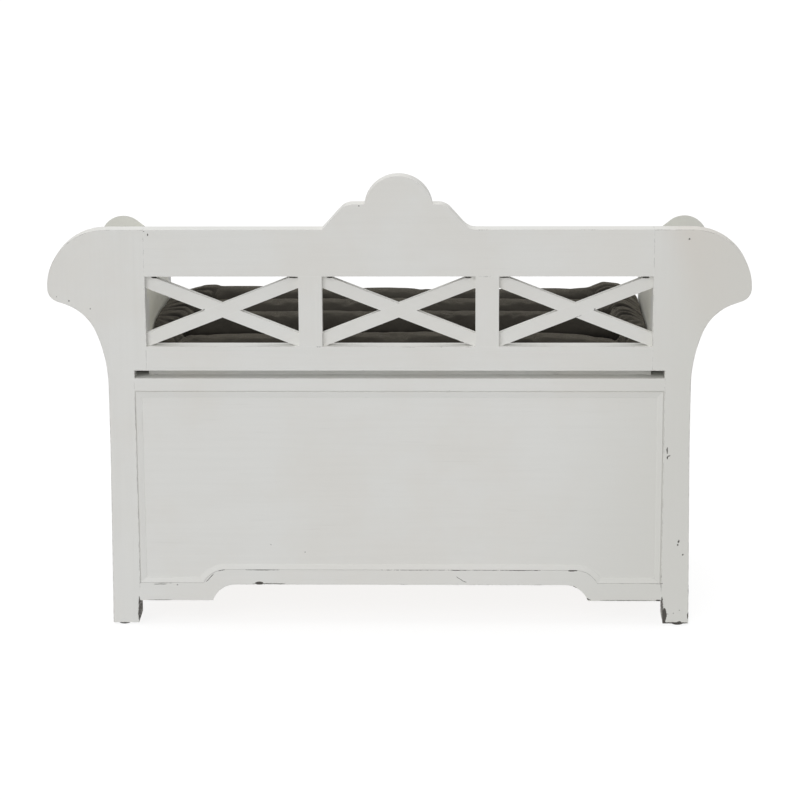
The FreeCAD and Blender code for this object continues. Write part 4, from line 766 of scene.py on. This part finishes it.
def inflate(obj, pinned, cap):
    """Cloth under pressure, held at its seams; no point moves further than the cap."""
    group = obj.vertex_groups.new(name="sewn")
    group.add(pinned, 1.0, "REPLACE")
    cloth = obj.modifiers.new("fill", "CLOTH")
    settings = cloth.settings
    settings.quality = 6
    settings.mass = 0.3
    settings.tension_stiffness = 18
    settings.compression_stiffness = 18
    settings.shear_stiffness = 8
    settings.bending_stiffness = 0.6
    settings.vertex_group_mass = "sewn"
    settings.use_pressure = True
    settings.uniform_pressure_force = 2.0
    settings.shrink_min = -0.012
    settings.effector_weights.gravity = 0
    cloth.collision_settings.use_collision = False
    cloth.point_cache.frame_start = 1
    cloth.point_cache.frame_end = FILL_FRAMES
    scene = bpy.context.scene
    for number in range(1, FILL_FRAMES + 1):
        scene.frame_set(number)
    seen = obj.evaluated_get(bpy.context.evaluated_depsgraph_get())
    count = len(obj.data.vertices)
    start, end = np.empty(count * 3), np.empty(count * 3)
    obj.data.vertices.foreach_get("co", start)
    seen.data.vertices.foreach_get("co", end)
    start, end = start.reshape(-1, 3), end.reshape(-1, 3)
    move = end - start
    length = np.linalg.norm(move, axis=1, keepdims=True)
    move *= np.minimum(1, cap / np.maximum(length, 1e-9))
    obj.modifiers.remove(cloth)
    obj.vertex_groups.remove(group)
    places = start + move
    # The arms hold the ends flat
    reach = CUSHION_HIGH.x + END_PRESS
    places[:, 0] = np.clip(places[:, 0], -reach, reach)
    obj.data.vertices.foreach_set("co", places.ravel())
    obj.data.update()
    scene.frame_set(1)


def relax(obj, rounds, share):
    """Even out single points without losing the folds."""
    mesh = obj.data
    count = len(mesh.vertices)
    places = np.empty(count * 3)
    mesh.vertices.foreach_get("co", places)
    places = places.reshape(-1, 3)
    ends = np.empty(len(mesh.edges) * 2, int)
    mesh.edges.foreach_get("vertices", ends)
    ends = ends.reshape(-1, 2)
    ends = np.concatenate([ends, ends[:, ::-1]])
    degree = np.bincount(ends[:, 0], minlength=count)[:, None]
    for _ in range(rounds):
        total = np.zeros((count, 3))
        np.add.at(total, ends[:, 0], places[ends[:, 1]])
        places = places + share * (total / degree - places)
    mesh.vertices.foreach_set("co", places.ravel())
    mesh.update()


def make_stitches(cushion, pad):
    """Thread laid in the channels, one short bar for each stitch."""
    rows = []
    for channel in pad.channels:
        reach = pad.joint(channel) - 0.010
        count = int(2 * reach / STITCH_PITCH)
        rows += [(-reach + STITCH_PITCH * n, channel) for n in range(count + 1)]
    vertices, faces = [], []
    long, thick = STITCH_PITCH * 0.31, 0.00045
    ring = [(math.cos(a), math.sin(a)) for a in np.linspace(0, 2 * math.pi, 6, endpoint=False)]
    for x, y in rows:
        hit, place, _, _ = cushion.ray_cast(Vector((x, y, 0.6)), Vector((0, 0, -1)))
        if not hit:
            continue
        start = len(vertices)
        for share, wide in ((-1, 0.45), (-0.6, 1), (0.6, 1), (1, 0.45)):
            dip = 0.0004 * share * share
            for c, s in ring:
                vertices.append((place.x + long * share, place.y + thick * wide * c,
                                 place.z + 0.0001 - dip + thick * wide * s))
        for level in range(3):
            for n in range(6):
                a, b = start + level * 6 + n, start + level * 6 + (n + 1) % 6
                faces.append((a, b, b + 6, a + 6))
        faces.append(tuple(start + n for n in reversed(range(6))))
        faces.append(tuple(start + 18 + n for n in range(6)))
    mesh = bpy.data.meshes.new("channel_stitches")
    mesh.from_pydata(vertices, [], faces)
    obj = bpy.data.objects.new("channel_stitches", mesh)
    bpy.context.scene.collection.objects.link(obj)
    mesh.polygons.foreach_set("use_smooth", [True] * len(mesh.polygons))
    return obj


def sewing_thread():
    shader = Shader("sewing_thread")
    twist = shader.noise(shader.stretched((2600, 900, 900)), 1.0, 2.0, 0.5)
    tone = shader.mix(twist, (0.020, 0.017, 0.014), (0.060, 0.052, 0.045))
    return shader.finish(colour=tone, rough=0.7, normal=shader.bump(twist, 0.0001, 0.5), gloss=0.3)


def make_cushion():
    pad = Pad()
    mesh, pinned = cushion_mesh(pad)
    cushion = bpy.data.objects.new("bench_cushion", mesh)
    bpy.context.scene.collection.objects.link(cushion)
    inflate(cushion, pinned, FILL_CAP)
    relax(cushion, 1, 0.3)
    mesh.polygons.foreach_set("use_smooth", [True] * len(mesh.polygons))
    finer = cushion.modifiers.new("finer", "SUBSURF")
    finer.levels = finer.render_levels = 1
    wear(cushion, cushion_cloth("cushion_cloth"))
    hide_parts("seat_cushion")
    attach(cushion, "cushion")
    bpy.context.view_layer.update()
    stitches = make_stitches(cushion, pad)
    wear(stitches, sewing_thread())
    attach(stitches, "cushion")


def make_floor():
    half = 40
    corners = [(-half, -half, 0), (half, -half, 0), (half, half, 0), (-half, half, 0)]
    mesh = bpy.data.meshes.new("studio_floor")
    mesh.from_pydata(corners, [], [(0, 1, 2, 3)])
    floor = bpy.data.objects.new("studio_floor", mesh)
    bpy.context.scene.collection.objects.link(floor)
    shader = Shader("floor")
    shader.surface.inputs["Base Color"].default_value = (0.2, 0.2, 0.2, 1)
    shader.surface.inputs["Roughness"].default_value = 0.9
    shader.surface.inputs["Specular IOR Level"].default_value = 0.1
    shader.surface.inputs["Emission Color"].default_value = (1, 1, 1, 1)
    shader.surface.inputs["Emission Strength"].default_value = 0.85
    mesh.materials.append(shader.material)
    # The floor is seen, but doesn't light the bench from below
    floor.visible_diffuse = False


def make_light():
    world = bpy.data.worlds.new("studio")
    world.use_nodes = True
    world.node_tree.nodes["Background"].inputs["Color"].default_value = (1, 1, 1, 1)
    world.node_tree.nodes["Background"].inputs["Strength"].default_value = 0.42
    bpy.context.scene.world = world
    # Name, strength, angle of the sun's disc in degrees, direction of the light
    lamps = (
        ("overhead", 1.40, 70, (-0.05, 0.22, -1)),
        ("side_window", 1.20, 50, (-0.30, -0.85, -0.45)),
    )
    for name, energy, angle, aim in lamps:
        sun = bpy.data.lights.new(name, "SUN")
        sun.energy = energy
        sun.angle = math.radians(angle)
        lamp = bpy.data.objects.new(name, sun)
        lamp.rotation_euler = Vector(aim).to_track_quat("-Z", "Y").to_euler()
        bpy.context.scene.collection.objects.link(lamp)


def make_camera():
    forward = Vector((math.sin(CAMERA_YAW) * math.cos(CAMERA_PITCH),
                      -math.cos(CAMERA_YAW) * math.cos(CAMERA_PITCH),
                      -math.sin(CAMERA_PITCH)))
    level = forward.cross(Vector((0, 0, 1))).normalized()
    upright = level.cross(forward)
    right = level * math.cos(CAMERA_ROLL) + upright * math.sin(CAMERA_ROLL)
    up = right.cross(forward)
    turn = Matrix((right, up, -forward)).transposed().to_4x4()
    data = bpy.data.cameras.new("camera")
    data.lens = CAMERA_LENS
    data.sensor_width = SENSOR_WIDTH
    data.clip_end = 200
    camera = bpy.data.objects.new("camera", data)
    camera.matrix_world = Matrix.Translation(CAMERA_PLACE) @ turn
    bpy.context.scene.collection.objects.link(camera)
    bpy.context.scene.camera = camera


bpy.context.scene.view_settings.view_transform = "Standard"
dress_nodes()
dress_edges()
make_cushion()
make_floor()
make_light()
make_camera()
